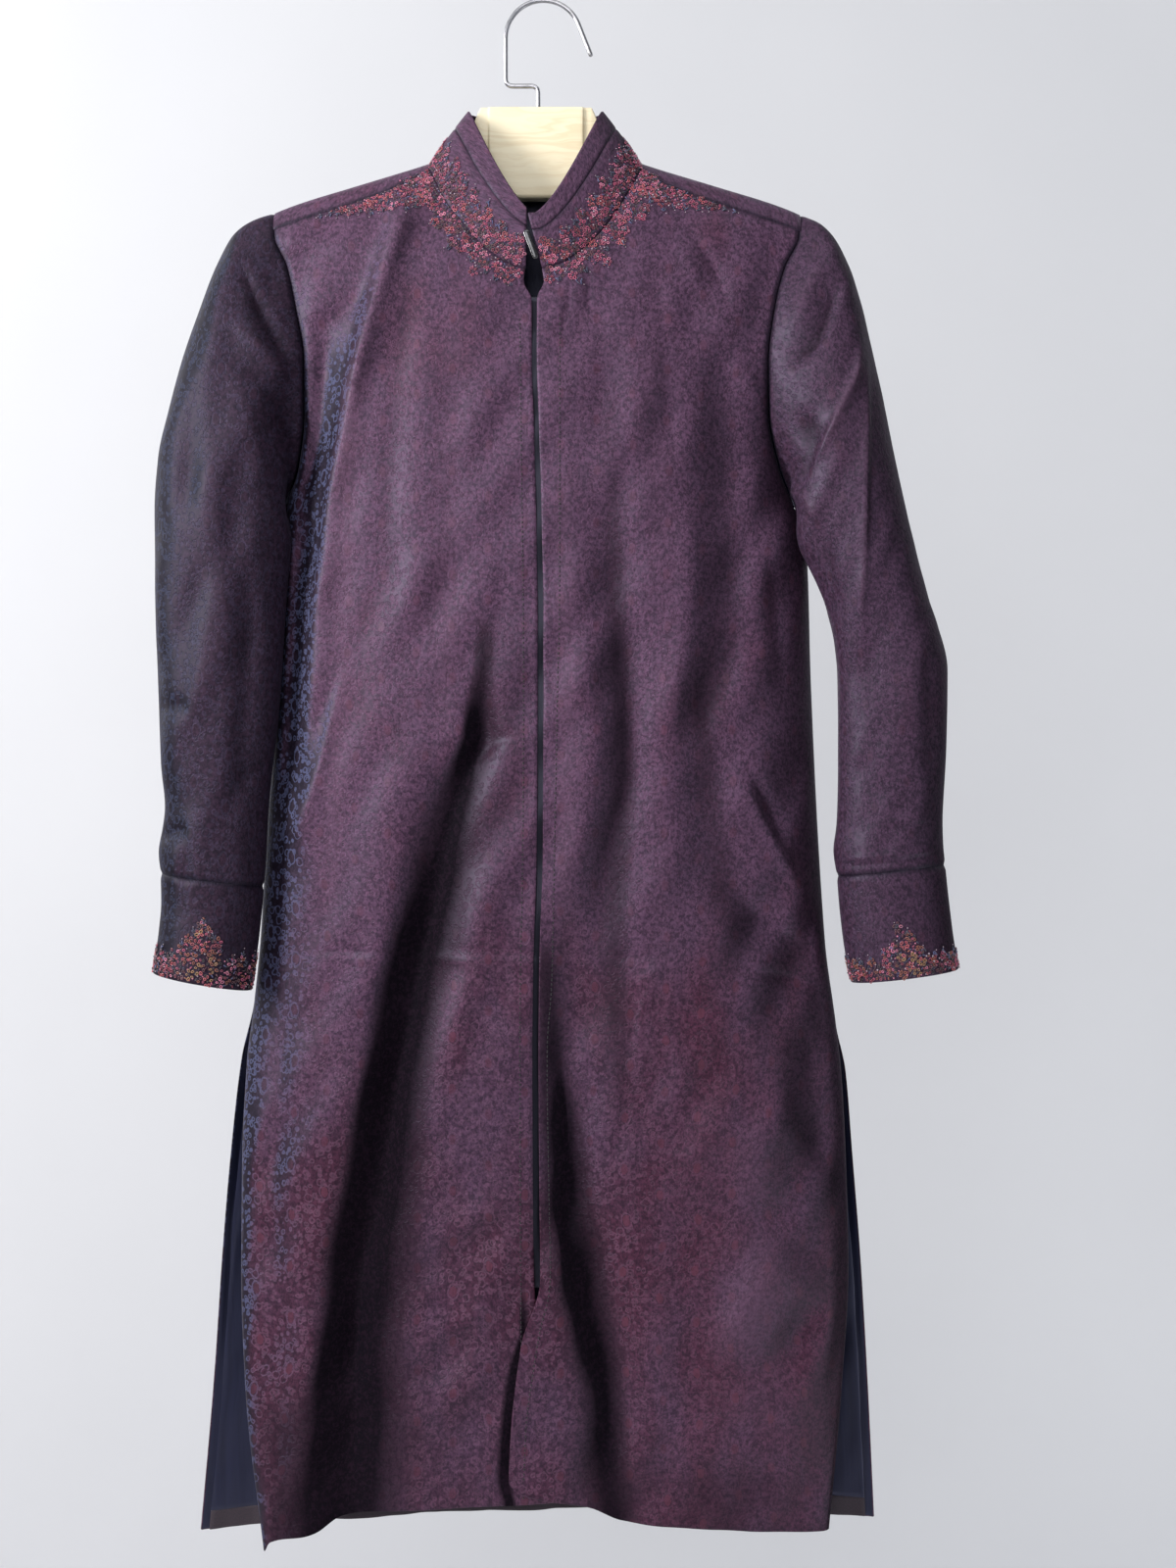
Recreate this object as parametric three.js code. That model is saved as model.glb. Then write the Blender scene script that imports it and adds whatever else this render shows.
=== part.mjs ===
// A long jacquard kurta with a band collar, hung on a wooden hanger with a chrome hook.
// Millimetres, +Z up, the front faces -Y. The origin is the inner top of the hook.
// Heights are given as a drop below the origin. Right and left are the wearer's own.
import * as THREE from "three";

// Driving sizes
const CLOTH = 1.6;
const THIN_CLOTH = 1.0;
const SEAM = 0.4;
const CURVED_SEAM = 1;
const NECK_CENTRE = -6.5;
const NECK_HALF = 82.5;
const COLLAR_TOP_HALF = 54;
const COLLAR_HEIGHT = 48;
const BORDER_SHARE = 0.3;
const NECK_DROP = 138;
const NECK_DEPTH = 83;
const NECK_POWER = 0.95;
const UNDERARM_DROP = 400;
const FACING_HEIGHT = 15;
const ROD = 1.9;

// Side outlines of the body: edge of the front and of the back at each height
const RIGHT_OUTLINE = [
  { drop: 170, frontX: -213, frontY: -36, backX: -213, backY: 26 },
  { drop: 192, frontX: -211, frontY: -35, backX: -212, backY: 26 },
  { drop: 215, frontX: -201, frontY: -31, backX: -208, backY: 26 },
  { drop: 245, frontX: -194.5, frontY: -31, backX: -204, backY: 26 },
  { drop: 290, frontX: -187.5, frontY: -29, backX: -200, backY: 24 },
  { drop: 330, frontX: -188, frontY: -21, backX: -199, backY: 19 },
  { drop: 370, frontX: -194, frontY: -8, backX: -200.5, backY: 10 },
  { drop: 400, frontX: -205, frontY: 3.3, backX: -205, backY: 3.7 },
  { drop: 430, frontX: -208, frontY: 3.3, backX: -208, backY: 3.7 },
  { drop: 545, frontX: -213, frontY: 3.3, backX: -213, backY: 3.7 },
  { drop: 676, frontX: -222, frontY: 3.3, backX: -222, backY: 3.7 },
  { drop: 745, frontX: -226, frontY: 3.3, backX: -226, backY: 3.7 },
  { drop: 795, frontX: -231, frontY: 3.3, backX: -231, backY: 3.7 },
  { drop: 841, frontX: -236, frontY: -2, backX: -242, backY: 9 },
  { drop: 920, frontX: -239, frontY: -8, backX: -252, backY: 17 },
  { drop: 1000, frontX: -239, frontY: -13, backX: -259, backY: 21 },
  { drop: 1100, frontX: -235, frontY: -17, backX: -266, backY: 24 },
  { drop: 1226, frontX: -220, frontY: -20, backX: -277, backY: 25 },
];
const LEFT_OUTLINE = [
  { drop: 170, frontX: 203, frontY: -36, backX: 203, backY: 26 },
  { drop: 192, frontX: 200.5, frontY: -35, backX: 202, backY: 26 },
  { drop: 215, frontX: 189.5, frontY: -31, backX: 197, backY: 26 },
  { drop: 245, frontX: 181.5, frontY: -31, backX: 193, backY: 26 },
  { drop: 290, frontX: 176, frontY: -29, backX: 189, backY: 24 },
  { drop: 330, frontX: 177, frontY: -21, backX: 189, backY: 19 },
  { drop: 370, frontX: 186, frontY: -8, backX: 194, backY: 10 },
  { drop: 400, frontX: 199, frontY: 3.3, backX: 199, backY: 3.7 },
  { drop: 435, frontX: 209.5, frontY: 3.3, backX: 209.5, backY: 3.7 },
  { drop: 545, frontX: 213, frontY: 3.3, backX: 213, backY: 3.7 },
  { drop: 746, frontX: 224, frontY: 3.3, backX: 224, backY: 3.7 },
  { drop: 815, frontX: 233, frontY: 3.3, backX: 233, backY: 3.7 },
  { drop: 850, frontX: 236.5, frontY: -2, backX: 241, backY: 9 },
  { drop: 920, frontX: 239.5, frontY: -8, backX: 247.5, backY: 17 },
  { drop: 1000, frontX: 241, frontY: -13, backX: 254, backY: 21 },
  { drop: 1100, frontX: 235, frontY: -17, backX: 260, backY: 24 },
  { drop: 1216, frontX: 224, frontY: -20, backX: 265.5, backY: 25 },
];
const SIDES = {
  right: { sign: -1, outline: RIGHT_OUTLINE },
  left: { sign: 1, outline: LEFT_OUTLINE },
};

// Depth of the body along its middle, and the edges of the front opening
const MIDDLE = [
  { drop: 120, x: -6.5, frontY: -46, backY: 24 },
  { drop: 221, x: -6.5, frontY: -50, backY: 27 },
  { drop: 300, x: -6.5, frontY: -56, backY: 28 },
  { drop: 450, x: -3, frontY: -62, backY: 29 },
  { drop: 700, x: -2.5, frontY: -60, backY: 30 },
  { drop: 850, x: -5.5, frontY: -56, backY: 30 },
  { drop: 1000, x: -4.5, frontY: -50, backY: 30 },
  { drop: 1200, x: -4, frontY: -43, backY: 30 },
];
const OPENING = [
  { drop: 221, right: -14.5, left: 0 },
  { drop: 231, right: -15.5, left: 1.5 },
  { drop: 245, right: -9.6, left: -3.8 },
  { drop: 300, right: -9, left: -3.6 },
  { drop: 356, right: -7, left: -1.5 },
  { drop: 500, right: -4.5, left: 1.5 },
  { drop: 660, right: -5, left: 1 },
  { drop: 773, right: -8, left: -2 },
  { drop: 842, right: -8.5, left: -2.5 },
  { drop: 1005, right: -7.5, left: -1.5 },
  { drop: 1058, right: -1, left: -16.5 },
  { drop: 1130, right: 6, left: -24.4 },
  { drop: 1162, right: 8, left: -25.8 },
  { drop: 1175, right: 8, left: -21 },
];
// How far the left front lifts over the right one near the hem
const OVERLAP = { lift: 5, startDrop: 940, fullDrop: 1010, nearX: 15, farX: 90 };

// Shoulder ridge over the hanger, and the fall from the ridge to the shoulder seam in front
const SHOULDER = [
  { out: 83, ridge: 128.5, fall: 10 },
  { out: 100, ridge: 134, fall: 15 },
  { out: 120, ridge: 140, fall: 17 },
  { out: 150, ridge: 149, fall: 18.5 },
  { out: 180, ridge: 158, fall: 18.5 },
  { out: 200, ridge: 165, fall: 17.5 },
  { out: 218, ridge: 173, fall: 16 },
];
const SEAM_SPAN = { start: 400, end: 815, fade: 20 };
const RIDGE = { front: 22, back: 30, power: 0.6, fadeStart: 250, fadeEnd: 385 };
const SECTION = {
  front: { power: 2.8, yokeRoot: 1, root: 0.62 },
  back: { power: 5, yokeRoot: 0.8, root: 0.5 },
  yokeEnd: 270,
};

// Hems
const RIGHT_HEM = [
  { x: -220, drop: 1225 },
  { x: -214, drop: 1217 },
  { x: -176, drop: 1207.5 },
  { x: -156, drop: 1196 },
  { x: -118, drop: 1188 },
  { x: -10, drop: 1181 },
  { x: 8, drop: 1180 },
];
const LEFT_HEM = [
  { x: -26, drop: 1164 },
  { x: -20, drop: 1172 },
  { x: 35, drop: 1184.5 },
  { x: 59, drop: 1195 },
  { x: 96, drop: 1199 },
  { x: 224, drop: 1208 },
];
const BACK_HEM = [
  { x: -277, drop: 1222.5 },
  { x: -161, drop: 1213 },
  { x: 35, drop: 1206 },
  { x: 266, drop: 1212 },
];

// The largest folds: a positive depth is a valley pushed in, a negative one a ridge
const FRONT_FOLDS = [
  {
    name: "right shoulder crease",
    depth: -6,
    route: [
      { drop: 190, x: -113, half: 9 },
      { drop: 273, x: -141, half: 11 },
      { drop: 334, x: -154, half: 13 },
      { drop: 500, x: -178, half: 14 },
      { drop: 640, x: -190, half: 14 },
    ],
  },
  {
    name: "right side hollow",
    depth: 6,
    route: [
      { drop: 300, x: -172, half: 12 },
      { drop: 420, x: -187, half: 12 },
      { drop: 600, x: -196, half: 12 },
    ],
  },
  {
    name: "long right valley",
    depth: 13,
    route: [
      { drop: 585, x: -46, half: 12 },
      { drop: 645, x: -69, half: 24 },
      { drop: 728, x: -88, half: 28 },
      { drop: 864, x: -117, half: 29 },
      { drop: 997, x: -143, half: 27 },
      { drop: 1230, x: -156, half: 25 },
    ],
  },
  {
    name: "soft valley beside the opening",
    depth: 7,
    route: [
      { drop: 440, x: 52, half: 18 },
      { drop: 614, x: 67, half: 22 },
      { drop: 713, x: 46, half: 22 },
      { drop: 790, x: 46, half: 20 },
    ],
  },
  {
    name: "lower valley beside the opening",
    depth: 8,
    route: [
      { drop: 770, x: 22, half: 17 },
      { drop: 917, x: 24, half: 22 },
      { drop: 1051, x: 40, half: 22 },
      { drop: 1230, x: 49, half: 24 },
    ],
  },
  {
    name: "left side valley",
    depth: 9,
    route: [
      { drop: 315, x: 140, half: 16 },
      { drop: 508, x: 144, half: 20 },
      { drop: 600, x: 126, half: 24 },
      { drop: 690, x: 142, half: 28 },
      { drop: 770, x: 200, half: 36 },
    ],
  },
  {
    name: "lower left swell",
    depth: -8,
    route: [
      { drop: 900, x: 150, half: 50 },
      { drop: 1016, x: 168, half: 60 },
      { drop: 1110, x: 160, half: 60 },
    ],
  },
];
const BACK_FOLDS = [
  {
    name: "right back fold",
    depth: 7,
    route: [
      { drop: 420, x: -90, half: 22 },
      { drop: 800, x: -120, half: 30 },
      { drop: 1230, x: -150, half: 34 },
    ],
  },
  {
    name: "left back fold",
    depth: 8,
    route: [
      { drop: 520, x: 70, half: 22 },
      { drop: 860, x: 96, half: 30 },
      { drop: 1230, x: 110, half: 34 },
    ],
  },
  {
    name: "middle back fold",
    depth: 5,
    route: [
      { drop: 700, x: -10, half: 22 },
      { drop: 1230, x: -20, half: 30 },
    ],
  },
];
const FOLDS = { front: FRONT_FOLDS, back: BACK_FOLDS };
const FOLD_FADE = 60;
const EDGE_CALM = 16;

// Sleeve stations from the armhole to the hem of the cuff: outer edge, inner edge, depth
const RIGHT_SLEEVE = [
  { at: 0, outX: -213, outDrop: 170, inX: -204, inDrop: 400, midY: -2, half: 25 },
  { at: 1, outX: -231, outDrop: 177, inX: -207, inDrop: 403, midY: -6, half: 29 },
  { at: 2, outX: -244.5, outDrop: 188, inX: -208, inDrop: 407, midY: -10, half: 33 },
  { at: 3, outX: -257.5, outDrop: 212, inX: -207.5, inDrop: 412, midY: -13, half: 36 },
  { at: 4, outX: -270.5, outDrop: 247, inX: -206, inDrop: 420, midY: -16, half: 37 },
  { at: 5, outX: -284, outDrop: 287, inX: -204, inDrop: 430, midY: -18, half: 37 },
  { at: 6, outX: -295, outDrop: 329, inX: -202.5, inDrop: 444, midY: -19, half: 37 },
  { at: 7, outX: -303, outDrop: 367, inX: -201, inDrop: 462, midY: -20, half: 36 },
  { at: 8, outX: -305.8, outDrop: 408, inX: -202.5, inDrop: 482, midY: -20, half: 36 },
  { at: 9, outX: -305, outDrop: 470, inX: -205, inDrop: 520, midY: -20, half: 35 },
  { at: 10, outX: -303, outDrop: 544, inX: -208, inDrop: 562, midY: -20, half: 34 },
  { at: 11, outX: -300.5, outDrop: 606, inX: -214, inDrop: 615, midY: -20, half: 32 },
  { at: 12, outX: -297.5, outDrop: 640, inX: -216.5, inDrop: 646, midY: -20, half: 31 },
  { at: 13, outX: -302.5, outDrop: 675, inX: -218.5, inDrop: 681, midY: -20, half: 31 },
  { at: 14, outX: -301, outDrop: 692, inX: -220, inDrop: 702, midY: -20, half: 31 },
  { at: 15, outX: -300.5, outDrop: 714, inX: -221.5, inDrop: 720, midY: -20, half: 31 },
  { at: 16, outX: -302.5, outDrop: 738, inX: -224, inDrop: 743, midY: -20, half: 32 },
  { at: 17, outX: -307, outDrop: 769, inX: -229.5, inDrop: 783, midY: -20, half: 33 },
];
const LEFT_SLEEVE = [
  { at: 0, outX: 203, outDrop: 170, inX: 199.5, inDrop: 400, midY: -2, half: 25 },
  { at: 1, outX: 217, outDrop: 177, inX: 202, inDrop: 404, midY: -6, half: 29 },
  { at: 2, outX: 228, outDrop: 188, inX: 204, inDrop: 410, midY: -10, half: 33 },
  { at: 3, outX: 240, outDrop: 211, inX: 205, inDrop: 417, midY: -13, half: 36 },
  { at: 4, outX: 250, outDrop: 242, inX: 205.5, inDrop: 425, midY: -16, half: 37 },
  { at: 5, outX: 259, outDrop: 281, inX: 206.5, inDrop: 436, midY: -18, half: 37 },
  { at: 6, outX: 268, outDrop: 323, inX: 210, inDrop: 449, midY: -19, half: 36 },
  { at: 7, outX: 277, outDrop: 368, inX: 216, inDrop: 466, midY: -20, half: 35 },
  { at: 8, outX: 288.5, outDrop: 420, inX: 224, inDrop: 487, midY: -20, half: 34 },
  { at: 9, outX: 302.5, outDrop: 475, inX: 229.5, inDrop: 515, midY: -20, half: 33 },
  { at: 10, outX: 318, outDrop: 533, inX: 232, inDrop: 548, midY: -20, half: 32 },
  { at: 11, outX: 317, outDrop: 591, inX: 232, inDrop: 602, midY: -20, half: 31 },
  { at: 12, outX: 314, outDrop: 648, inX: 231, inDrop: 652, midY: -20, half: 31 },
  { at: 13, outX: 314.5, outDrop: 668, inX: 228.5, inDrop: 674, midY: -20, half: 31 },
  { at: 14, outX: 316, outDrop: 685, inX: 231, inDrop: 694, midY: -20, half: 31 },
  { at: 15, outX: 319, outDrop: 714, inX: 233, inDrop: 718, midY: -20, half: 31 },
  { at: 16, outX: 322.5, outDrop: 742, inX: 236.5, inDrop: 748, midY: -20, half: 32 },
  { at: 17, outX: 326.5, outDrop: 766, inX: 242, inDrop: 777, midY: -20, half: 33 },
];
const CUFF_STATION = 14;
const ARMHOLE_FADE = 5;

// The wooden hanger by distance from its middle, and the clearance under the cloth
const HANGER_CENTRE = -6;
const HANGER = [
  { out: 0, top: 85.5, bottom: 158, front: -12, back: 4 },
  { out: 36.5, top: 85.5, bottom: 158, front: -12, back: 4 },
  { out: 39, top: 85.5, bottom: 158, front: -10, back: 4 },
  { out: 43.5, top: 85.5, bottom: 158.5, front: -10, back: 4 },
  { out: 49, top: 97, bottom: 159, front: -10, back: 4 },
  { out: 60, top: 112, bottom: 161, front: -9, back: 4 },
  { out: 80, top: 133, bottom: 166, front: -8, back: 4.5 },
];
const ARM = {
  tip: 192,
  under: 1.7,
  front: -7,
  back: 5,
  bottomStart: 166,
  bottomEnd: 192,
  round: 3,
  stations: [100, 120, 145, 170, 186, 192],
};
const HOOK = {
  arch: 30,
  archX: -0.4,
  neckX: -4.5,
  stemGap: 0.3,
  shelf: 66.3,
  bend: 6,
  tail: 28,
  tailTurn: 21.8,
  archSteps: 12,
  steps: 64,
};
const CLASP = {
  length: 24,
  width: 5,
  thick: 1.6,
  topX: -13.5,
  lean: 21,
  drop: 204,
  collarShare: 0.8,
  seat: 0.5,
};

// Cloth and hard materials
const MATERIALS = {
  jacquard: { color: 0x5a3346, roughness: 0.62, metalness: 0 },
  lining: { color: 0x1d2740, roughness: 0.4, metalness: 0 },
  facing: { color: 0x33202b, roughness: 0.6, metalness: 0 },
  wood: { color: 0xe4dbc6, roughness: 0.5, metalness: 0 },
  chrome: { color: 0xc9ccd0, roughness: 0.18, metalness: 1 },
};

// Small maths
const mix = (a, b, share) => a + (b - a) * share;
const clamp = (value) => Math.min(1, Math.max(0, value));

function smooth(from, to, value) {
  const share = clamp((value - from) / (to - from));
  return share * share * (3 - 2 * share);
}

// One column of a table at a given input, smooth between the rows and never past them
function lookup(rows, input, name, at) {
  const last = rows.length - 1;
  if (at <= rows[0][input]) return rows[0][name];
  if (at >= rows[last][input]) return rows[last][name];
  const next = rows.findIndex((row) => row[input] >= at);
  const slope = (i) => (rows[i + 1][name] - rows[i][name]) / (rows[i + 1][input] - rows[i][input]);
  const own = slope(next - 1);
  const shared = (other) => (other * own > 0 ? (2 * other * own) / (other + own) : 0);
  const startSlope = next > 1 ? shared(slope(next - 2)) : own;
  const endSlope = next < last ? shared(slope(next)) : own;
  const span = rows[next][input] - rows[next - 1][input];
  const t = (at - rows[next - 1][input]) / span;
  const rise = t * t * (3 - 2 * t);
  const start = t * (1 - t) * (1 - t) * span * startSlope;
  const end = t * t * (t - 1) * span * endSlope;
  return mix(rows[next - 1][name], rows[next][name], rise) + start + end;
}

// The surface of the body
const ridgeDrop = (out) => lookup(SHOULDER, "out", "ridge", out);
const seamFall = (out) => lookup(SHOULDER, "out", "fall", out);
const neckOut = (x) => Math.abs(x - NECK_CENTRE);
const sideOf = (x, drop) => (x < lookup(MIDDLE, "drop", "x", drop) ? SIDES.right : SIDES.left);

// Depth of the folds at a point of one face, calm along the side edges
function foldDepth(face, x, drop) {
  const edge = lookup(sideOf(x, drop).outline, "drop", face + "X", drop);
  const calm = smooth(0, EDGE_CALM, Math.abs(edge - x));
  return calm * FOLDS[face].reduce((sum, { depth, route }) => {
    const start = route[0].drop;
    const end = route[route.length - 1].drop;
    const away = (x - lookup(route, "drop", "x", drop)) / lookup(route, "drop", "half", drop);
    const ends = smooth(start - FOLD_FADE, start, drop) * (1 - smooth(end, end + FOLD_FADE, drop));
    return sum + depth * Math.exp(-away * away) * ends;
  }, 0);
}

// Share of the full depth reached at some distance below the shoulder ridge
function ridgeShare(below, length, drop) {
  const share = 1 - Math.exp(-Math.pow(Math.max(below, 0) / length, RIDGE.power));
  return mix(share, 1, smooth(RIDGE.fadeStart, RIDGE.fadeEnd, drop));
}

// Depth between the side edge and the middle of a section
function sectionDepth(face, x, drop) {
  const { outline } = sideOf(x, drop);
  const middleX = lookup(MIDDLE, "drop", "x", drop);
  const across = clamp((x - middleX) / (lookup(outline, "drop", face + "X", drop) - middleX));
  const { power, yokeRoot, root } = SECTION[face];
  const lower = smooth(SECTION.yokeEnd, UNDERARM_DROP, drop);
  const fullness = Math.pow(1 - Math.pow(across, power), mix(yokeRoot, root, lower));
  const edge = lookup(outline, "drop", face + "Y", drop);
  return mix(edge, lookup(MIDDLE, "drop", face + "Y", drop), fullness);
}

function frontPoint(x, drop) {
  const below = drop - ridgeDrop(neckOut(x));
  const depth = sectionDepth("front", x, drop) * ridgeShare(below, RIDGE.front, drop);
  return new THREE.Vector3(x, depth + foldDepth("front", x, drop), -drop);
}

function backPoint(x, drop) {
  const out = neckOut(x);
  const below = drop - ridgeDrop(out);
  const neckPinch = out < NECK_HALF ? 1 - Math.sqrt(1 - (out / NECK_HALF) ** 2) : 1;
  const share = mix(1, ridgeShare(below, RIDGE.back, drop), neckPinch);
  const depth = sectionDepth("back", x, drop) * share;
  return new THREE.Vector3(x, depth - foldDepth("back", x, drop), -drop);
}

// A point by its fall from the ridge: in front of it when negative, behind it when positive
function ridgePoint(x, fall) {
  const drop = ridgeDrop(neckOut(x)) + Math.abs(fall);
  return fall < 0 ? frontPoint(x, drop) : backPoint(x, drop);
}

// Normals of a grid of points, rows down and columns across. A tube runs around, and the
// columns of a side seam face straight out, so that the walls on both sides of it meet
function gridNormals(grid, { around = false, seamColumns = [] }) {
  const rows = grid.length;
  const columns = grid[0].length;
  const at = (row, column) => {
    const r = Math.min(rows - 1, Math.max(0, row));
    const c = around ? (column + columns) % columns : Math.min(columns - 1, Math.max(0, column));
    return grid[r][c];
  };
  return grid.map((line, r) =>
    line.map((point, c) => {
      const down = at(r + 1, c).clone().sub(at(r - 1, c));
      const across = at(r, c + 1).clone().sub(at(r, c - 1));
      const normal = down.cross(across).normalize();
      if (seamColumns.includes(c)) normal.y *= 1 - seamShare(-point.z);
      return normal.normalize();
    }),
  );
}

// 1 along the side seams, 0 at the armholes and the slits
function seamShare(drop) {
  const { start, end, fade } = SEAM_SPAN;
  return smooth(start - fade, start, drop) * (1 - smooth(end, end + fade, drop));
}

// A grid moved along its normals
function moved(grid, distance, options = {}) {
  const normals = gridNormals(grid, options);
  return grid.map((line, r) =>
    line.map((point, c) => point.clone().addScaledVector(normals[r][c], distance)),
  );
}

// A closed wall between a grid and the same grid moved inwards
function wall(grid, thickness, options = {}) {
  const { around = false } = options;
  const rows = grid.length;
  const columns = grid[0].length;
  const outer = grid.flat();
  const inner = moved(grid, -thickness, options).flat();
  const index = [];
  const quad = (a, b, c, d) => index.push(a, b, c, a, c, d);
  const outerAt = (r, c) => r * columns + (c % columns);
  const innerAt = (r, c) => outer.length + outerAt(r, c);
  const lastColumn = around ? columns : columns - 1;
  for (let r = 0; r < rows - 1; r += 1) {
    for (let c = 0; c < lastColumn; c += 1) {
      quad(outerAt(r, c), outerAt(r + 1, c), outerAt(r + 1, c + 1), outerAt(r, c + 1));
      quad(innerAt(r, c), innerAt(r, c + 1), innerAt(r + 1, c + 1), innerAt(r + 1, c));
    }
  }
  for (let c = 0; c < lastColumn; c += 1) {
    quad(outerAt(0, c), outerAt(0, c + 1), innerAt(0, c + 1), innerAt(0, c));
    const r = rows - 1;
    quad(outerAt(r, c + 1), outerAt(r, c), innerAt(r, c), innerAt(r, c + 1));
  }
  if (!around) {
    for (let r = 0; r < rows - 1; r += 1) {
      const c = columns - 1;
      quad(outerAt(r + 1, 0), outerAt(r, 0), innerAt(r, 0), innerAt(r + 1, 0));
      quad(outerAt(r, c), outerAt(r + 1, c), innerAt(r + 1, c), innerAt(r, c));
    }
  }
  const geometry = new THREE.BufferGeometry().setFromPoints([...outer, ...inner]);
  return geometry.setIndex(index);
}

function flipped(grid) {
  return grid.map((line) => [...line].reverse());
}

// A solid through closed sections of equal count, with flat ends
function loft(sections) {
  const count = sections[0].length;
  const points = sections.flat();
  const index = [];
  for (let s = 0; s < sections.length - 1; s += 1) {
    for (let i = 0; i < count; i += 1) {
      const a = s * count + i;
      const b = s * count + ((i + 1) % count);
      index.push(a, b + count, b, a, a + count, b + count);
    }
  }
  const top = (sections.length - 1) * count;
  for (let i = 1; i < count - 1; i += 1) {
    index.push(0, i, i + 1, top, top + i + 1, top + i);
  }
  return new THREE.BufferGeometry().setFromPoints(points).setIndex(index);
}

// Rows of a panel below its first ones: they slowly spread down to the hem, where the last
// row is as tall as the hem facing
const ROW_GRADE = 1.4;

function rowsBelow(start, hem, rows) {
  const end = hem - FACING_HEIGHT;
  const graded = Array.from({ length: rows }, (_, i) =>
    mix(start, end, ((i + 1) / rows) ** ROW_GRADE),
  );
  return [...graded, hem];
}

// Columns of a front: 0 to 1 along the neck edge and 1 to 2 along the shoulder seam, and
// the share of the width that the same column reaches lower down
const FRONT_COLUMNS = [
  { top: 0, low: 0 },
  { top: 0.22, low: 0.08 },
  { top: 0.43, low: 0.17 },
  { top: 0.62, low: 0.27 },
  { top: 0.78, low: 0.37 },
  { top: 0.91, low: 0.47 },
  { top: 1, low: 0.57 },
  { top: 1.25, low: 0.67 },
  { top: 1.5, low: 0.77 },
  { top: 1.75, low: 0.87 },
  { top: 1.93, low: 0.955 },
  { top: 2, low: 1 },
];
const FRONT_STEPS = [0, 8, 20];
const FRONT_ROWS = 30;
const COLUMN_SPREAD = { start: 150, end: 480 };

function neckEdgeDrop(out) {
  return NECK_DROP + NECK_DEPTH * (1 - clamp(out / NECK_HALF) ** 2) ** NECK_POWER;
}

function frontTopDrop(out) {
  return out < NECK_HALF ? neckEdgeDrop(out) : ridgeDrop(out) + seamFall(out) + CURVED_SEAM;
}

// Place across a front at some height, for a column with these two shares of the width
function frontX(side, topShare, lowShare, drop) {
  const name = side === SIDES.right ? "right" : "left";
  const edge = lookup(OPENING, "drop", name, drop);
  const outer = lookup(side.outline, "drop", "frontX", drop);
  const spread = smooth(COLUMN_SPREAD.start, COLUMN_SPREAD.end, drop);
  return mix(edge, outer, mix(topShare, lowShare, spread));
}

// Height at which a column meets the neck edge or the shoulder seam, found step by step
const TOP_SEARCH = { rounds: 40, share: 0.4 };

function columnTop(side, topShare, lowShare) {
  let drop = NECK_DROP;
  for (let i = 0; i < TOP_SEARCH.rounds; i += 1) {
    const x = frontX(side, topShare, lowShare, drop);
    drop = mix(drop, frontTopDrop(neckOut(x)), TOP_SEARCH.share);
  }
  return drop;
}

function liftedPoint(side, x, drop) {
  const point = frontPoint(x, drop);
  const down = smooth(OVERLAP.startDrop, OVERLAP.fullDrop, drop);
  const near = 1 - smooth(OVERLAP.nearX, OVERLAP.farX, x);
  if (side === SIDES.left) point.y -= OVERLAP.lift * down * near;
  return point;
}

function frontColumn(side, hem, { top, low }) {
  const name = side === SIDES.right ? "right" : "left";
  const edge = lookup(OPENING, "drop", name, 0);
  const outer = side.outline[0].frontX;
  const corner = NECK_CENTRE + side.sign * NECK_HALF;
  const topX = top < 1 ? mix(edge, corner, top) : mix(corner, outer, top - 1);
  const topShare = (topX - edge) / (outer - edge);
  const start = columnTop(side, topShare, low);
  const end = lookup(hem, "x", "drop", frontX(side, topShare, low, hem[0].drop));
  const first = FRONT_STEPS.map((step) => start + step);
  const drops = [...first, ...rowsBelow(first[first.length - 1], end, FRONT_ROWS)];
  return drops.map((drop) => liftedPoint(side, frontX(side, topShare, low, drop), drop));
}

// Turns a list of columns into rows
const rowsFrom = (columns) => columns[0].map((_, r) => columns.map((column) => column[r]));

function frontPanel(side, hem) {
  const grid = rowsFrom(FRONT_COLUMNS.map((column) => frontColumn(side, hem, column)));
  const last = FRONT_COLUMNS.length - 1;
  if (side === SIDES.right) return wall(flipped(grid), CLOTH, { seamColumns: [0] });
  return wall(grid, CLOTH, { seamColumns: [last] });
}

// Columns of one half of the back: its top edge runs along the back neck, over the ridge
// beside the neck, and then along the shoulder seam in front of the ridge
const BACK_COLUMNS = [
  { span: "neck", share: 0, low: 0 },
  { span: "neck", share: 0.3, low: 0.13 },
  { span: "neck", share: 0.58, low: 0.26 },
  { span: "neck", share: 0.82, low: 0.39 },
  { span: "ridge", share: 0, low: 0.5 },
  { span: "ridge", share: 0.55, low: 0.6 },
  { span: "ridge", share: 1, low: 0.7 },
  { span: "seam", share: 0.25, low: 0.8 },
  { span: "seam", share: 0.55, low: 0.89 },
  { span: "seam", share: 0.85, low: 0.975 },
  { span: "seam", share: 1, low: 1 },
];
// First rows: shares of the fall in front of the ridge, or steps down the back neck, and
// then steps down from the ridge
const BACK_FIRST = { shares: [1, 0.55, 0.2, 0.03], neckSteps: [0, 2, 4, 6], steps: [8, 14, 26, 46] };
const BACK_ROWS = 25;
const NECK_RIDGE = { spread: 1.2, behind: 1.5, backDip: 2 };

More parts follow.
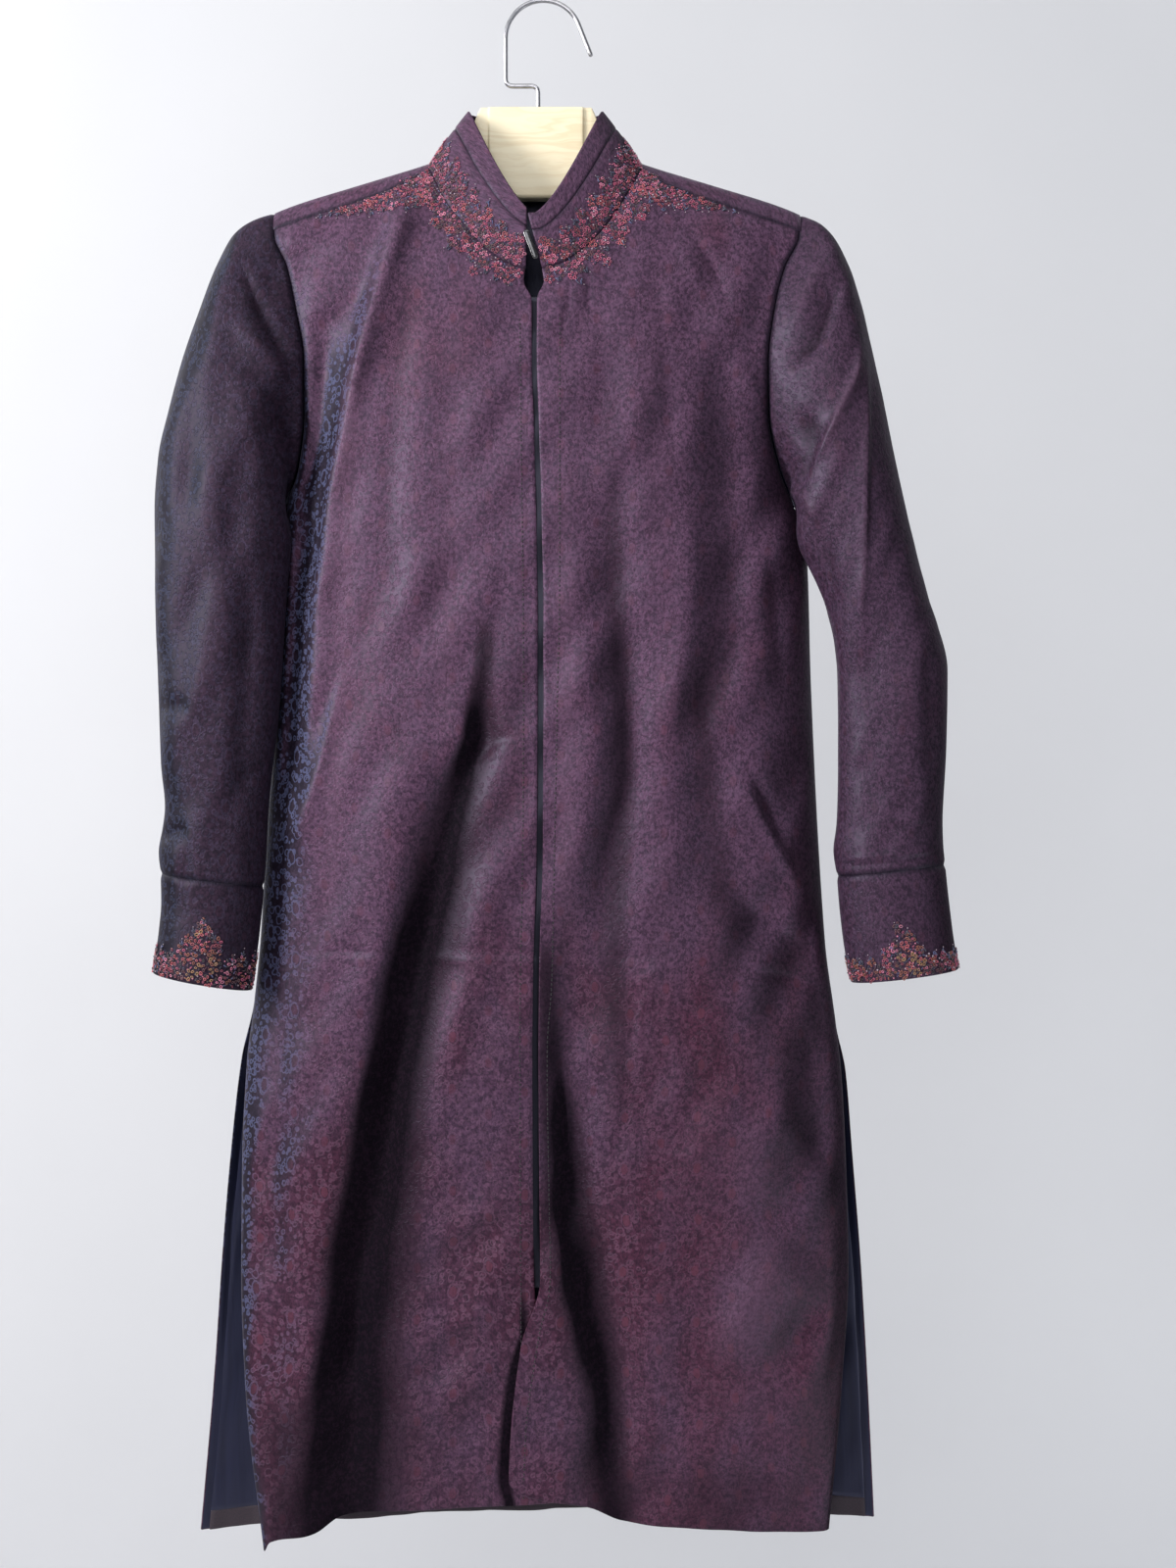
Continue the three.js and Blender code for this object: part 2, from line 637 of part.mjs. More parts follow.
// Start of a column as a distance out from the neck centre and a fall from the ridge
function backStart(side, { span, share }) {
  const tip = Math.abs(side.outline[0].backX - NECK_CENTRE);
  if (span === "neck") {
    const angle = (share * Math.PI) / 2;
    const fall = NECK_RIDGE.behind + NECK_RIDGE.backDip * Math.cos(angle);
    return { out: NECK_HALF * Math.sin(angle), fall };
  }
  if (span === "ridge") {
    const out = NECK_HALF + NECK_RIDGE.spread * share;
    return { out, fall: mix(NECK_RIDGE.behind, -seamFall(out), share) };
  }
  const out = mix(NECK_HALF + NECK_RIDGE.spread, tip, share);
  return { out, fall: -seamFall(out) };
}

// Falls of the first rows of a column: in front of the ridge when negative
function firstFalls(start) {
  const { shares, neckSteps, steps } = BACK_FIRST;
  if (start > 0) return [...neckSteps, ...steps].map((step) => start + step);
  const behind = steps.map((step) => step - steps[0] + NECK_RIDGE.behind);
  return [...shares.map((share) => share * start), ...behind];
}

function backColumn(side, column) {
  const { out, fall } = backStart(side, column);
  const tip = Math.abs(side.outline[0].backX - NECK_CENTRE);
  const bottomEdge = side.outline[side.outline.length - 1].backX;
  const hemX = mix(MIDDLE[MIDDLE.length - 1].x, bottomEdge, column.low);
  const hem = lookup(BACK_HEM, "x", "drop", hemX) - ridgeDrop(out);
  const first = firstFalls(fall);
  const falls = [...first, ...rowsBelow(first[first.length - 1], hem, BACK_ROWS)];
  return falls.map((below) => {
    const drop = ridgeDrop(out) + Math.abs(below);
    const x = backX(side, out / tip, column.low, drop);
    return below < 0 ? frontPoint(x, drop) : backPoint(x, drop);
  });
}

function backX(side, topShare, lowShare, drop) {
  const middle = lookup(MIDDLE, "drop", "x", drop);
  const outer = lookup(side.outline, "drop", "backX", drop);
  const spread = smooth(COLUMN_SPREAD.start, COLUMN_SPREAD.end, drop);
  return mix(middle, outer, mix(topShare, lowShare, spread));
}

function backGrid() {
  const right = BACK_COLUMNS.map((column) => backColumn(SIDES.right, column)).reverse();
  const left = BACK_COLUMNS.slice(1).map((column) => backColumn(SIDES.left, column));
  return flipped(rowsFrom([...right, ...left]));
}

const BACK_SEAMS = { seamColumns: [0, 2 * (BACK_COLUMNS.length - 1)] };
const backPanel = () => wall(backGrid(), CLOTH, BACK_SEAMS);

// Lining and hem facing: rows and columns of the back, moved in past its wall
const LINING_TOP = 790;

function backLayer(firstRow, lastRow) {
  const inside = moved(backGrid(), -CLOTH - SEAM, BACK_SEAMS);
  return inside.slice(firstRow, lastRow + 1).map((line) => line.slice(1, -1));
}

function shortened(grid, bottomGap) {
  const last = grid.length - 1;
  const rest = grid[last].map((point, c) => {
    const above = grid[last - 1][c];
    return point.clone().lerp(above, bottomGap / point.distanceTo(above));
  });
  return [...grid.slice(0, last), rest];
}

function backLining() {
  const middle = BACK_COLUMNS.length - 1;
  const grid = backGrid();
  const firstRow = grid.findIndex((line) => -line[middle].z > LINING_TOP);
  return wall(shortened(backLayer(firstRow, grid.length - 2), SEAM), THIN_CLOTH);
}

function backFacing() {
  const last = backGrid().length - 1;
  return wall(shortened(backLayer(last - 1, last), SEAM), THIN_CLOTH);
}

// The strip that closes the front opening from behind
const UNDERLAP = { top: 243, bottom: 1012, half: 15, gap: 1.8, rows: 24, columns: 4 };

function frontUnderlap() {
  const grid = Array.from({ length: UNDERLAP.rows + 1 }, (_, r) => {
    const drop = mix(UNDERLAP.top, UNDERLAP.bottom, r / UNDERLAP.rows);
    const right = lookup(OPENING, "drop", "right", drop);
    const left = lookup(OPENING, "drop", "left", drop);
    return Array.from({ length: UNDERLAP.columns + 1 }, (__, c) => {
      const x = mix(right - UNDERLAP.half, left + UNDERLAP.half, c / UNDERLAP.columns);
      return frontPoint(x, drop);
    });
  });
  return wall(moved(grid, -CLOTH - UNDERLAP.gap), THIN_CLOTH);
}

// Sleeves and cuffs
const TUBE = { columns: 20, sleeveRows: 22, cuffRows: 4, cuffGap: 0.03 };

function sleeveRing(rows, side, at) {
  const row = (name, station) => lookup(rows, "at", name, station);
  const ellipse = (angle, station) => {
    const share = (1 + Math.cos(angle)) / 2;
    const x = mix(row("inX", station), row("outX", station), share);
    const drop = mix(row("inDrop", station), row("outDrop", station), share);
    const y = row("midY", station) - row("half", station) * Math.sin(angle);
    return new THREE.Vector3(x, y, -drop);
  };
  return Array.from({ length: TUBE.columns }, (_, i) => {
    const angle = (i / TUBE.columns) * 2 * Math.PI;
    const fade = 1 - smooth(0, ARMHOLE_FADE, at);
    const shift = armholePoint(side, angle).sub(ellipse(angle, 0)).multiplyScalar(fade);
    return ellipse(angle, at).add(shift);
  });
}

// The armhole edge of the body, from the ridge down the front or the back to the underarm
function armholePoint(side, angle) {
  const inFront = Math.sin(angle) > 0;
  const name = inFront ? "frontX" : "backX";
  const tip = ridgeDrop(neckOut(side.outline[0].frontX));
  const drop = mix(UNDERARM_DROP, tip, (1 + Math.cos(angle)) / 2);
  const x = lookup(side.outline, "drop", name, drop);
  const point = inFront ? frontPoint(x, drop) : backPoint(x, drop);
  point.x += side.sign * CURVED_SEAM;
  return point;
}

function sleevePart(rows, side, from, to, rings) {
  const grid = Array.from({ length: rings + 1 }, (_, r) =>
    sleeveRing(rows, side, mix(from, to, r / rings)),
  );
  return wall(side === SIDES.right ? grid : flipped(grid), CLOTH, { around: true });
}

function sleeve(rows, side) {
  return sleevePart(rows, side, 0, CUFF_STATION - TUBE.cuffGap, TUBE.sleeveRows);
}

function cuff(rows, side) {
  return sleevePart(rows, side, CUFF_STATION, rows.length - 1, TUBE.cuffRows);
}

// Collar: loops from the middle of the back to the front ends, -1 on the right, 1 on the left
const COLLAR = {
  backSpan: 0.42,
  ridgeSpan: 0.08,
  topBackSpan: 0.46,
  endOut: { right: 7.5, left: 6.5 },
  topEndOut: { right: 6.4, left: -4.2 },
  topDrop: 88,
  topFall: 92,
  topPower: 1.42,
  topFrontY: -50,
  topBackY: 21,
  topFrontPower: 0.85,
  columns: 36,
};

function collarFoot(turn) {
  const side = turn < 0 ? SIDES.right : SIDES.left;
  const end = turn < 0 ? COLLAR.endOut.right : COLLAR.endOut.left;
  const at = Math.abs(turn);
  const ridgeEnd = COLLAR.backSpan + COLLAR.ridgeSpan;
  if (at < ridgeEnd) {
    const span = at < COLLAR.backSpan ? "neck" : "ridge";
    const share = span === "neck" ? at / COLLAR.backSpan : (at - COLLAR.backSpan) / COLLAR.ridgeSpan;
    const { out, fall } = backStart(side, { span, share });
    return ridgePoint(NECK_CENTRE + side.sign * out, fall);
  }
  const angle = mix(Math.PI / 2, Math.asin(end / NECK_HALF), (at - ridgeEnd) / (1 - ridgeEnd));
  const out = NECK_HALF * Math.sin(angle);
  return frontPoint(NECK_CENTRE + side.sign * out, neckEdgeDrop(out));
}

function collarTop(turn) {
  const side = turn < 0 ? SIDES.right : SIDES.left;
  const end = turn < 0 ? COLLAR.topEndOut.right : COLLAR.topEndOut.left;
  const at = Math.abs(turn);
  if (at < COLLAR.topBackSpan) {
    const angle = ((at / COLLAR.topBackSpan) * Math.PI) / 2;
    const x = NECK_CENTRE + side.sign * COLLAR_TOP_HALF * Math.sin(angle);
    return new THREE.Vector3(x, COLLAR.topBackY * Math.cos(angle), -COLLAR.topDrop);
  }
  const share = (at - COLLAR.topBackSpan) / (1 - COLLAR.topBackSpan);
  const angle = mix(Math.PI / 2, Math.asin(end / COLLAR_TOP_HALF), share);
  const out = Math.sin(angle);
  const fall = COLLAR.topFall * (1 - Math.max(0, out) ** COLLAR.topPower);
  const y = COLLAR.topFrontY * Math.cos(angle) ** COLLAR.topFrontPower;
  return new THREE.Vector3(NECK_CENTRE + side.sign * COLLAR_TOP_HALF * out, y, -COLLAR.topDrop - fall);
}

function collarPoint(turn, up) {
  return collarFoot(turn).lerp(collarTop(turn), up);
}

function collarBand(from, to, rows) {
  const grid = Array.from({ length: rows + 1 }, (_, r) =>
    Array.from({ length: COLLAR.columns + 1 }, (__, c) =>
      collarPoint(mix(-1, 1, c / COLLAR.columns), mix(to, from, r / rows)),
    ),
  );
  return wall(flipped(grid), CLOTH);
}

const collarStand = () => collarBand(CURVED_SEAM / COLLAR_HEIGHT, 1 - BORDER_SHARE, 3);
const collarBorder = () => collarBand(1 - BORDER_SHARE + SEAM / COLLAR_HEIGHT, 1, 2);

// The slim bar that hangs at the collar ends
function claspBar() {
  const shape = new THREE.Shape();
  const half = CLASP.width / 2;
  const reach = CLASP.length / 2 - half;
  shape.absarc(0, reach, half, 0, Math.PI);
  shape.absarc(0, -reach, half, Math.PI, 2 * Math.PI);
  const bar = new THREE.ExtrudeGeometry(shape, {
    depth: CLASP.thick,
    bevelEnabled: false,
    curveSegments: 8,
  });
  bar.rotateX(Math.PI / 2);
  bar.rotateY(THREE.MathUtils.degToRad(-CLASP.lean));
  return bar;
}

// Hanger
function hangerSection(x, { top, bottom, front, back }) {
  const cut = ARM.round;
  const corners = [
    [front + cut, top],
    [back - cut, top],
    [back, top + cut],
    [back, bottom - cut],
    [back - cut, bottom],
    [front + cut, bottom],
    [front, bottom - cut],
    [front, top + cut],
  ];
  return corners.map(([y, drop]) => new THREE.Vector3(x, y, -drop));
}

function hangerRow(out) {
  const inner = HANGER[HANGER.length - 1].out;
  const row = {};
  for (const name of ["top", "bottom", "front", "back"]) {
    row[name] = lookup(HANGER, "out", name, out);
  }
  if (out <= inner) return row;
  const along = (out - inner) / (ARM.tip - inner);
  const shift = Math.abs(HANGER_CENTRE - NECK_CENTRE);
  return {
    top: Math.max(ridgeDrop(out - shift), ridgeDrop(out + shift)) + CLOTH + ARM.under,
    bottom: mix(ARM.bottomStart, ARM.bottomEnd, along),
    front: ARM.front,
    back: ARM.back,
  };
}

function hangerBody() {
  const outs = [...HANGER.map(({ out }) => out), ...ARM.stations];
  const stations = [...outs.slice(1).map((out) => -out).reverse(), ...outs];
  return loft(stations.map((out) => hangerSection(HANGER_CENTRE + out, hangerRow(Math.abs(out)))));
}

function hookPath() {
  const { arch, archX, neckX, shelf, bend, tail } = HOOK;
  const archDrop = arch - ROD;
  const leftX = archX - arch;
  const at = (x, drop) => new THREE.Vector3(x, 0, -drop);
  const path = new THREE.CurvePath();
  const line = (a, b) => path.add(new THREE.LineCurve3(a, b));
  const corner = (a, b, c) => path.add(new THREE.QuadraticBezierCurve3(a, b, c));
  line(at(neckX, HANGER[0].top - HOOK.stemGap), at(neckX, shelf + bend));
  corner(at(neckX, shelf + bend), at(neckX, shelf), at(neckX - bend, shelf));
  line(at(neckX - bend, shelf), at(leftX + bend, shelf));
  corner(at(leftX + bend, shelf), at(leftX, shelf), at(leftX, shelf - bend));
  line(at(leftX, shelf - bend), at(leftX, archDrop));
  const onArch = (degrees) => {
    const angle = THREE.MathUtils.degToRad(degrees);
    return at(archX + arch * Math.cos(angle), archDrop - arch * Math.sin(angle));
  };
  const turns = Array.from({ length: HOOK.archSteps + 1 }, (_, i) =>
    onArch(mix(180, HOOK.tailTurn, i / HOOK.archSteps)),
  );
  path.add(new THREE.CatmullRomCurve3(turns));
  const turn = THREE.MathUtils.degToRad(HOOK.tailTurn);
  const end = turns[turns.length - 1];
  const tip = new THREE.Vector3(end.x + tail * Math.sin(turn), 0, end.z - tail * Math.cos(turn));
  line(end, tip);
  return path;
}

function hangerHook() {
  const circle = new THREE.Shape().absarc(0, 0, ROD, 0, 2 * Math.PI);
  return new THREE.ExtrudeGeometry(circle, {
    extrudePath: hookPath(),
    steps: HOOK.steps,
    curveSegments: 5,
    bevelEnabled: false,
  });
}

// Assembly
function piece(name, geometry, material) {
  const mesh = new THREE.Mesh(geometry, new THREE.MeshStandardMaterial(MATERIALS[material]));
  mesh.name = name;
  return mesh;
}

function clasp() {
  const mesh = piece("clasp_bar", claspBar(), "chrome");
  const middleX = CLASP.topX + (CLASP.length / 2) * Math.sin(THREE.MathUtils.degToRad(CLASP.lean));
  const collarY = collarPoint(-1, CLASP.collarShare).y;
  mesh.position.set(middleX, collarY + CLASP.seat, -CLASP.drop);
  return mesh;
}

const kurta = new THREE.Group();
kurta.add(
  piece("front_right", frontPanel(SIDES.right, RIGHT_HEM), "jacquard"),
  piece("front_left", frontPanel(SIDES.left, LEFT_HEM), "jacquard"),
  piece("back", backPanel(), "jacquard"),
  piece("sleeve_right", sleeve(RIGHT_SLEEVE, SIDES.right), "jacquard"),
  piece("sleeve_left", sleeve(LEFT_SLEEVE, SIDES.left), "jacquard"),
  piece("cuff_right", cuff(RIGHT_SLEEVE, SIDES.right), "jacquard"),
  piece("cuff_left", cuff(LEFT_SLEEVE, SIDES.left), "jacquard"),
  piece("collar_stand", collarStand(), "jacquard"),
  piece("collar_border", collarBorder(), "jacquard"),
  piece("front_underlap", frontUnderlap(), "lining"),
  piece("lining_back", backLining(), "lining"),
  piece("back_hem_facing", backFacing(), "facing"),
  clasp(),
  piece("hanger_body", hangerBody(), "wood"),
  piece("hanger_hook", hangerHook(), "chrome"),
);

export default kurta;
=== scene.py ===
"""A long jacquard kurta on a wooden hanger: cloth, seams, embroidery, hanger, light and camera.

Sizes in the tables are millimetres, with the wearer's right at -X. A height is a drop below
the inner top of the hook. Meshes are written in metres.
"""
import math

import bmesh
import bpy
import numpy as np
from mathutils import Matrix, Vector


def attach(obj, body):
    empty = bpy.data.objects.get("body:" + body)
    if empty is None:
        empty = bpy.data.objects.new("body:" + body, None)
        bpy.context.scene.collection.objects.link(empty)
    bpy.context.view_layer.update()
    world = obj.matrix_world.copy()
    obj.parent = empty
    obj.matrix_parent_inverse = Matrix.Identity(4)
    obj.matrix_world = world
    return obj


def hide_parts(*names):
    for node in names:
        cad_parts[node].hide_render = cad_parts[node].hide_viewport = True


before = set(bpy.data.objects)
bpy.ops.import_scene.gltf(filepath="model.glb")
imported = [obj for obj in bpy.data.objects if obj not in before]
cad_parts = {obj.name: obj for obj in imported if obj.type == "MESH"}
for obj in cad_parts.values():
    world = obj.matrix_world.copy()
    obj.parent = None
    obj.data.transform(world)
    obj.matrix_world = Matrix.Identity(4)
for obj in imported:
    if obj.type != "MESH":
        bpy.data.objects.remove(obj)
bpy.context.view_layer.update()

MM = 0.001

# Driving sizes
CLOTH = 1.6
THIN_CLOTH = 1.0
NECK_CENTRE = -6.5
NECK_HALF = 82.5
NECK_DROP = 138
NECK_DEPTH = 83
NECK_POWER = 0.95
COLLAR_TOP_HALF = 54
COLLAR_HEIGHT = 48
BORDER_START = 0.7
UNDERARM_DROP = 400
SEAM_DITCH = 0.9
SEAM_REACH = 2.2


# Tables


def monotone(xs, ys, at):
    """A smooth curve through the rows of a table that never swings past them."""
    at = np.clip(np.asarray(at, float), xs[0], xs[-1])
    i = np.clip(np.searchsorted(xs, at) - 1, 0, len(xs) - 2)
    slopes = np.diff(ys) / np.diff(xs)
    product = slopes[1:] * slopes[:-1]
    total = np.where(product > 0, slopes[1:] + slopes[:-1], 1)
    inner = np.where(product > 0, 2 * product / total, 0)
    knots = np.concatenate([slopes[:1], inner, slopes[-1:]])
    span = xs[i + 1] - xs[i]
    t = (at - xs[i]) / span
    rise = ys[i] + (ys[i + 1] - ys[i]) * t * t * (3 - 2 * t)
    return rise + t * (1 - t) ** 2 * span * knots[i] + t * t * (t - 1) * span * knots[i + 1]


class Table:
    """Rows of sizes with named columns, the first of which is the one looked up."""

    def __init__(self, columns, *rows):
        self.columns = columns.split()
        self.rows = np.array(rows, float)

    def __call__(self, name, at):
        return monotone(self.rows[:, 0], self.rows[:, self.columns.index(name)], at)

    def first(self, name):
        return self.rows[0, self.columns.index(name)]

    def last(self, name):
        return self.rows[-1, self.columns.index(name)]


SIDE_COLUMNS = "drop front_x front_y back_x back_y"
RIGHT_OUTLINE = Table(
    SIDE_COLUMNS,
    (170, -213, -36, -213, 26),
    (192, -211, -35, -212, 26),
    (215, -201, -31, -208, 26),
    (245, -194.5, -31, -204, 26),
    (290, -187.5, -29, -200, 24),
    (330, -188, -21, -199, 19),
    (370, -194, -8, -200.5, 10),
    (400, -205, 3.3, -205, 3.7),
    (430, -208, 3.3, -208, 3.7),
    (545, -213, 3.3, -213, 3.7),
    (676, -222, 3.3, -222, 3.7),
    (745, -226, 3.3, -226, 3.7),
    (795, -231, 3.3, -231, 3.7),
    (841, -236, -2, -242, 9),
    (920, -239, -8, -252, 17),
    (1000, -239, -13, -259, 21),
    (1100, -235, -17, -266, 24),
    (1226, -220, -20, -277, 25),
)
LEFT_OUTLINE = Table(
    SIDE_COLUMNS,
    (170, 203, -36, 203, 26),
    (192, 200.5, -35, 202, 26),
    (215, 189.5, -31, 197, 26),
    (245, 181.5, -31, 193, 26),
    (290, 176, -29, 189, 24),
    (330, 177, -21, 189, 19),
    (370, 186, -8, 194, 10),
    (400, 199, 3.3, 199, 3.7),
    (435, 209.5, 3.3, 209.5, 3.7),
    (545, 213, 3.3, 213, 3.7),
    (746, 224, 3.3, 224, 3.7),
    (815, 233, 3.3, 233, 3.7),
    (850, 236.5, -2, 241, 9),
    (920, 239.5, -8, 247.5, 17),
    (1000, 241, -13, 254, 21),
    (1100, 235, -17, 260, 24),
    (1216, 224, -20, 265.5, 25),
)
OUTLINES = {-1: RIGHT_OUTLINE, 1: LEFT_OUTLINE}
MIDDLE = Table(
    "drop x front_y back_y",
    (120, -6.5, -46, 24),
    (221, -6.5, -50, 27),
    (300, -6.5, -56, 28),
    (450, -3, -62, 29),
    (700, -2.5, -60, 30),
    (850, -5.5, -56, 30),
    (1000, -4.5, -50, 30),
    (1200, -4, -43, 30),
)
OPENING = Table(
    "drop right left",
    (221, -14.5, 0),
    (231, -15.5, 1.5),
    (245, -9.6, -3.8),
    (300, -9, -3.6),
    (356, -7, -1.5),
    (500, -4.5, 1.5),
    (660, -5, 1),
    (773, -8, -2),
    (842, -8.5, -2.5),
    (1005, -7.5, -1.5),
    (1058, -1, -16.5),
    (1130, 6, -24.4),
    (1162, 8, -25.8),
    (1175, 8, -21),
)
OVERLAP = {"lift": 5, "start": 940, "full": 1010, "near": 15, "far": 90}
SHOULDER = Table(
    "out ridge fall",
    (83, 128.5, 10),
    (100, 134, 15),
    (120, 140, 17),
    (150, 149, 18.5),
    (180, 158, 18.5),
    (200, 165, 17.5),
    (218, 173, 16),
)
RIDGE = {"front": 22, "back": 30, "power": 0.6, "fade_start": 250, "fade_end": 385}
SECTION = {
    "front": {"power": 2.8, "yoke_root": 1, "root": 0.62},
    "back": {"power": 5, "yoke_root": 0.8, "root": 0.5},
}
YOKE_END = 270
RIGHT_HEM = Table("x drop", (-220, 1225), (-214, 1217), (-176, 1207.5), (-156, 1196), (-118, 1188),
                  (-10, 1181), (8, 1180))
LEFT_HEM = Table("x drop", (-26, 1164), (-20, 1172), (35, 1184.5), (59, 1195), (96, 1199), (224, 1208))
BACK_HEM = Table("x drop", (-277, 1222.5), (-161, 1213), (35, 1206), (266, 1212))

# Main folds, close to those of the solids: depth, then rows of drop, x and half width
MAIN_FOLDS = {
    "front": [
        (-6, (190, -113, 9), (273, -141, 11), (334, -154, 13), (500, -178, 14), (640, -190, 14)),
        (6, (300, -172, 12), (420, -187, 12), (600, -196, 12)),
        (13, (585, -46, 12), (645, -69, 24), (728, -88, 28), (864, -117, 29), (997, -143, 27),
         (1230, -156, 25)),
        (7, (440, 52, 18), (614, 67, 22), (713, 46, 22), (790, 46, 20)),
        (8, (770, 22, 17), (917, 24, 22), (1051, 40, 22), (1230, 49, 24)),
        (6, (315, 140, 18), (508, 144, 22), (600, 126, 24), (690, 142, 28), (770, 200, 36)),
        (-8, (900, 150, 50), (1016, 168, 60), (1110, 160, 60)),
    ],
    "back": [
        (7, (420, -90, 22), (800, -120, 30), (1230, -150, 34)),
        (8, (520, 70, 22), (860, 96, 30), (1230, 110, 34)),
        (5, (700, -10, 22), (1230, -20, 30)),
    ],
    # painted shade on the front's cloth where it lies in shade, and a painted highlight where negative
    "shade": [
        (9, (530, -46, 8), (606, -59, 11), (700, -80, 17), (800, -103, 24), (900, -117, 32),
         (1000, -128, 36), (1100, -146, 38), (1240, -165, 40)),
        (4, (520, -20, 22), (600, -30, 24), (700, -46, 26), (740, -54, 26)),
        (7, (770, 2, 8), (850, 6, 12), (923, 16, 20), (985, 24, 24), (1040, 34, 22), (1090, 46, 17),
         (1240, 56, 15)),
        (4, (340, 52, 10), (500, 58, 12), (620, 61, 13), (700, 60, 14), (850, 57, 14)),
        (2, (340, 144, 12), (500, 148, 12), (560, 136, 14)),
        (3, (570, 122, 9), (622, 129, 14), (682, 137, 18), (750, 148, 20)),
        (5, (820, 172, 15), (850, 182, 19), (880, 192, 20), (930, 220, 18)),
        (3, (245, -104, 9), (320, -112, 10), (395, -119, 11), (470, -116, 12), (546, -108, 12),
         (600, -112, 12)),
        (4, (1130, -190, 70), (1240, -190, 70)),
        (2.5, (1100, -70, 60), (1240, -70, 60)),
        (4.5, (1170, 150, 90), (1240, 150, 90)),
        (-3, (330, -150, 10), (560, -155, 12), (700, -165, 10)),
        (-3, (300, -70, 14), (560, -74, 14)),
        (-3, (400, 16, 12), (720, 18, 12)),
        (-2, (300, 90, 18), (760, 92, 18)),
    ],
    # painted shadow on the right front alone, along the edge of the left front that lies over it
    "under flap": [
        (13, (1050, -15, 3), (1075, -22, 4), (1130, -28.5, 4.5), (1162, -30, 4.5), (1180, -26, 4.5)),
    ],
}
# How far a main fold fades past its ends, and how far from the panel's edge it starts
FOLD_FADE = 60
EDGE_CALM = 16

# How much of a fold's depth is painted into the cloth's colour as shade
PAINTED_FOLD_SHADE = {"front": 0.32, "back": 0.45, "sleeve": 1.1}

# The slight unevenness of hung cloth, as waves with longer lengths down than across
WAVES = {"count": 9, "across": (22, 70), "down": (70, 240), "lean": 0.5, "height": 0.45}

# How a crease rises from the cloth and fades at both ends of its route
CREASE = {"steps": 6, "reach": 5, "tip": 0.35, "crisp": 1.7, "fade_in": (-0.02, 0.3),
          "fade_out": (0.7, 1.02), "start": (4, 40)}

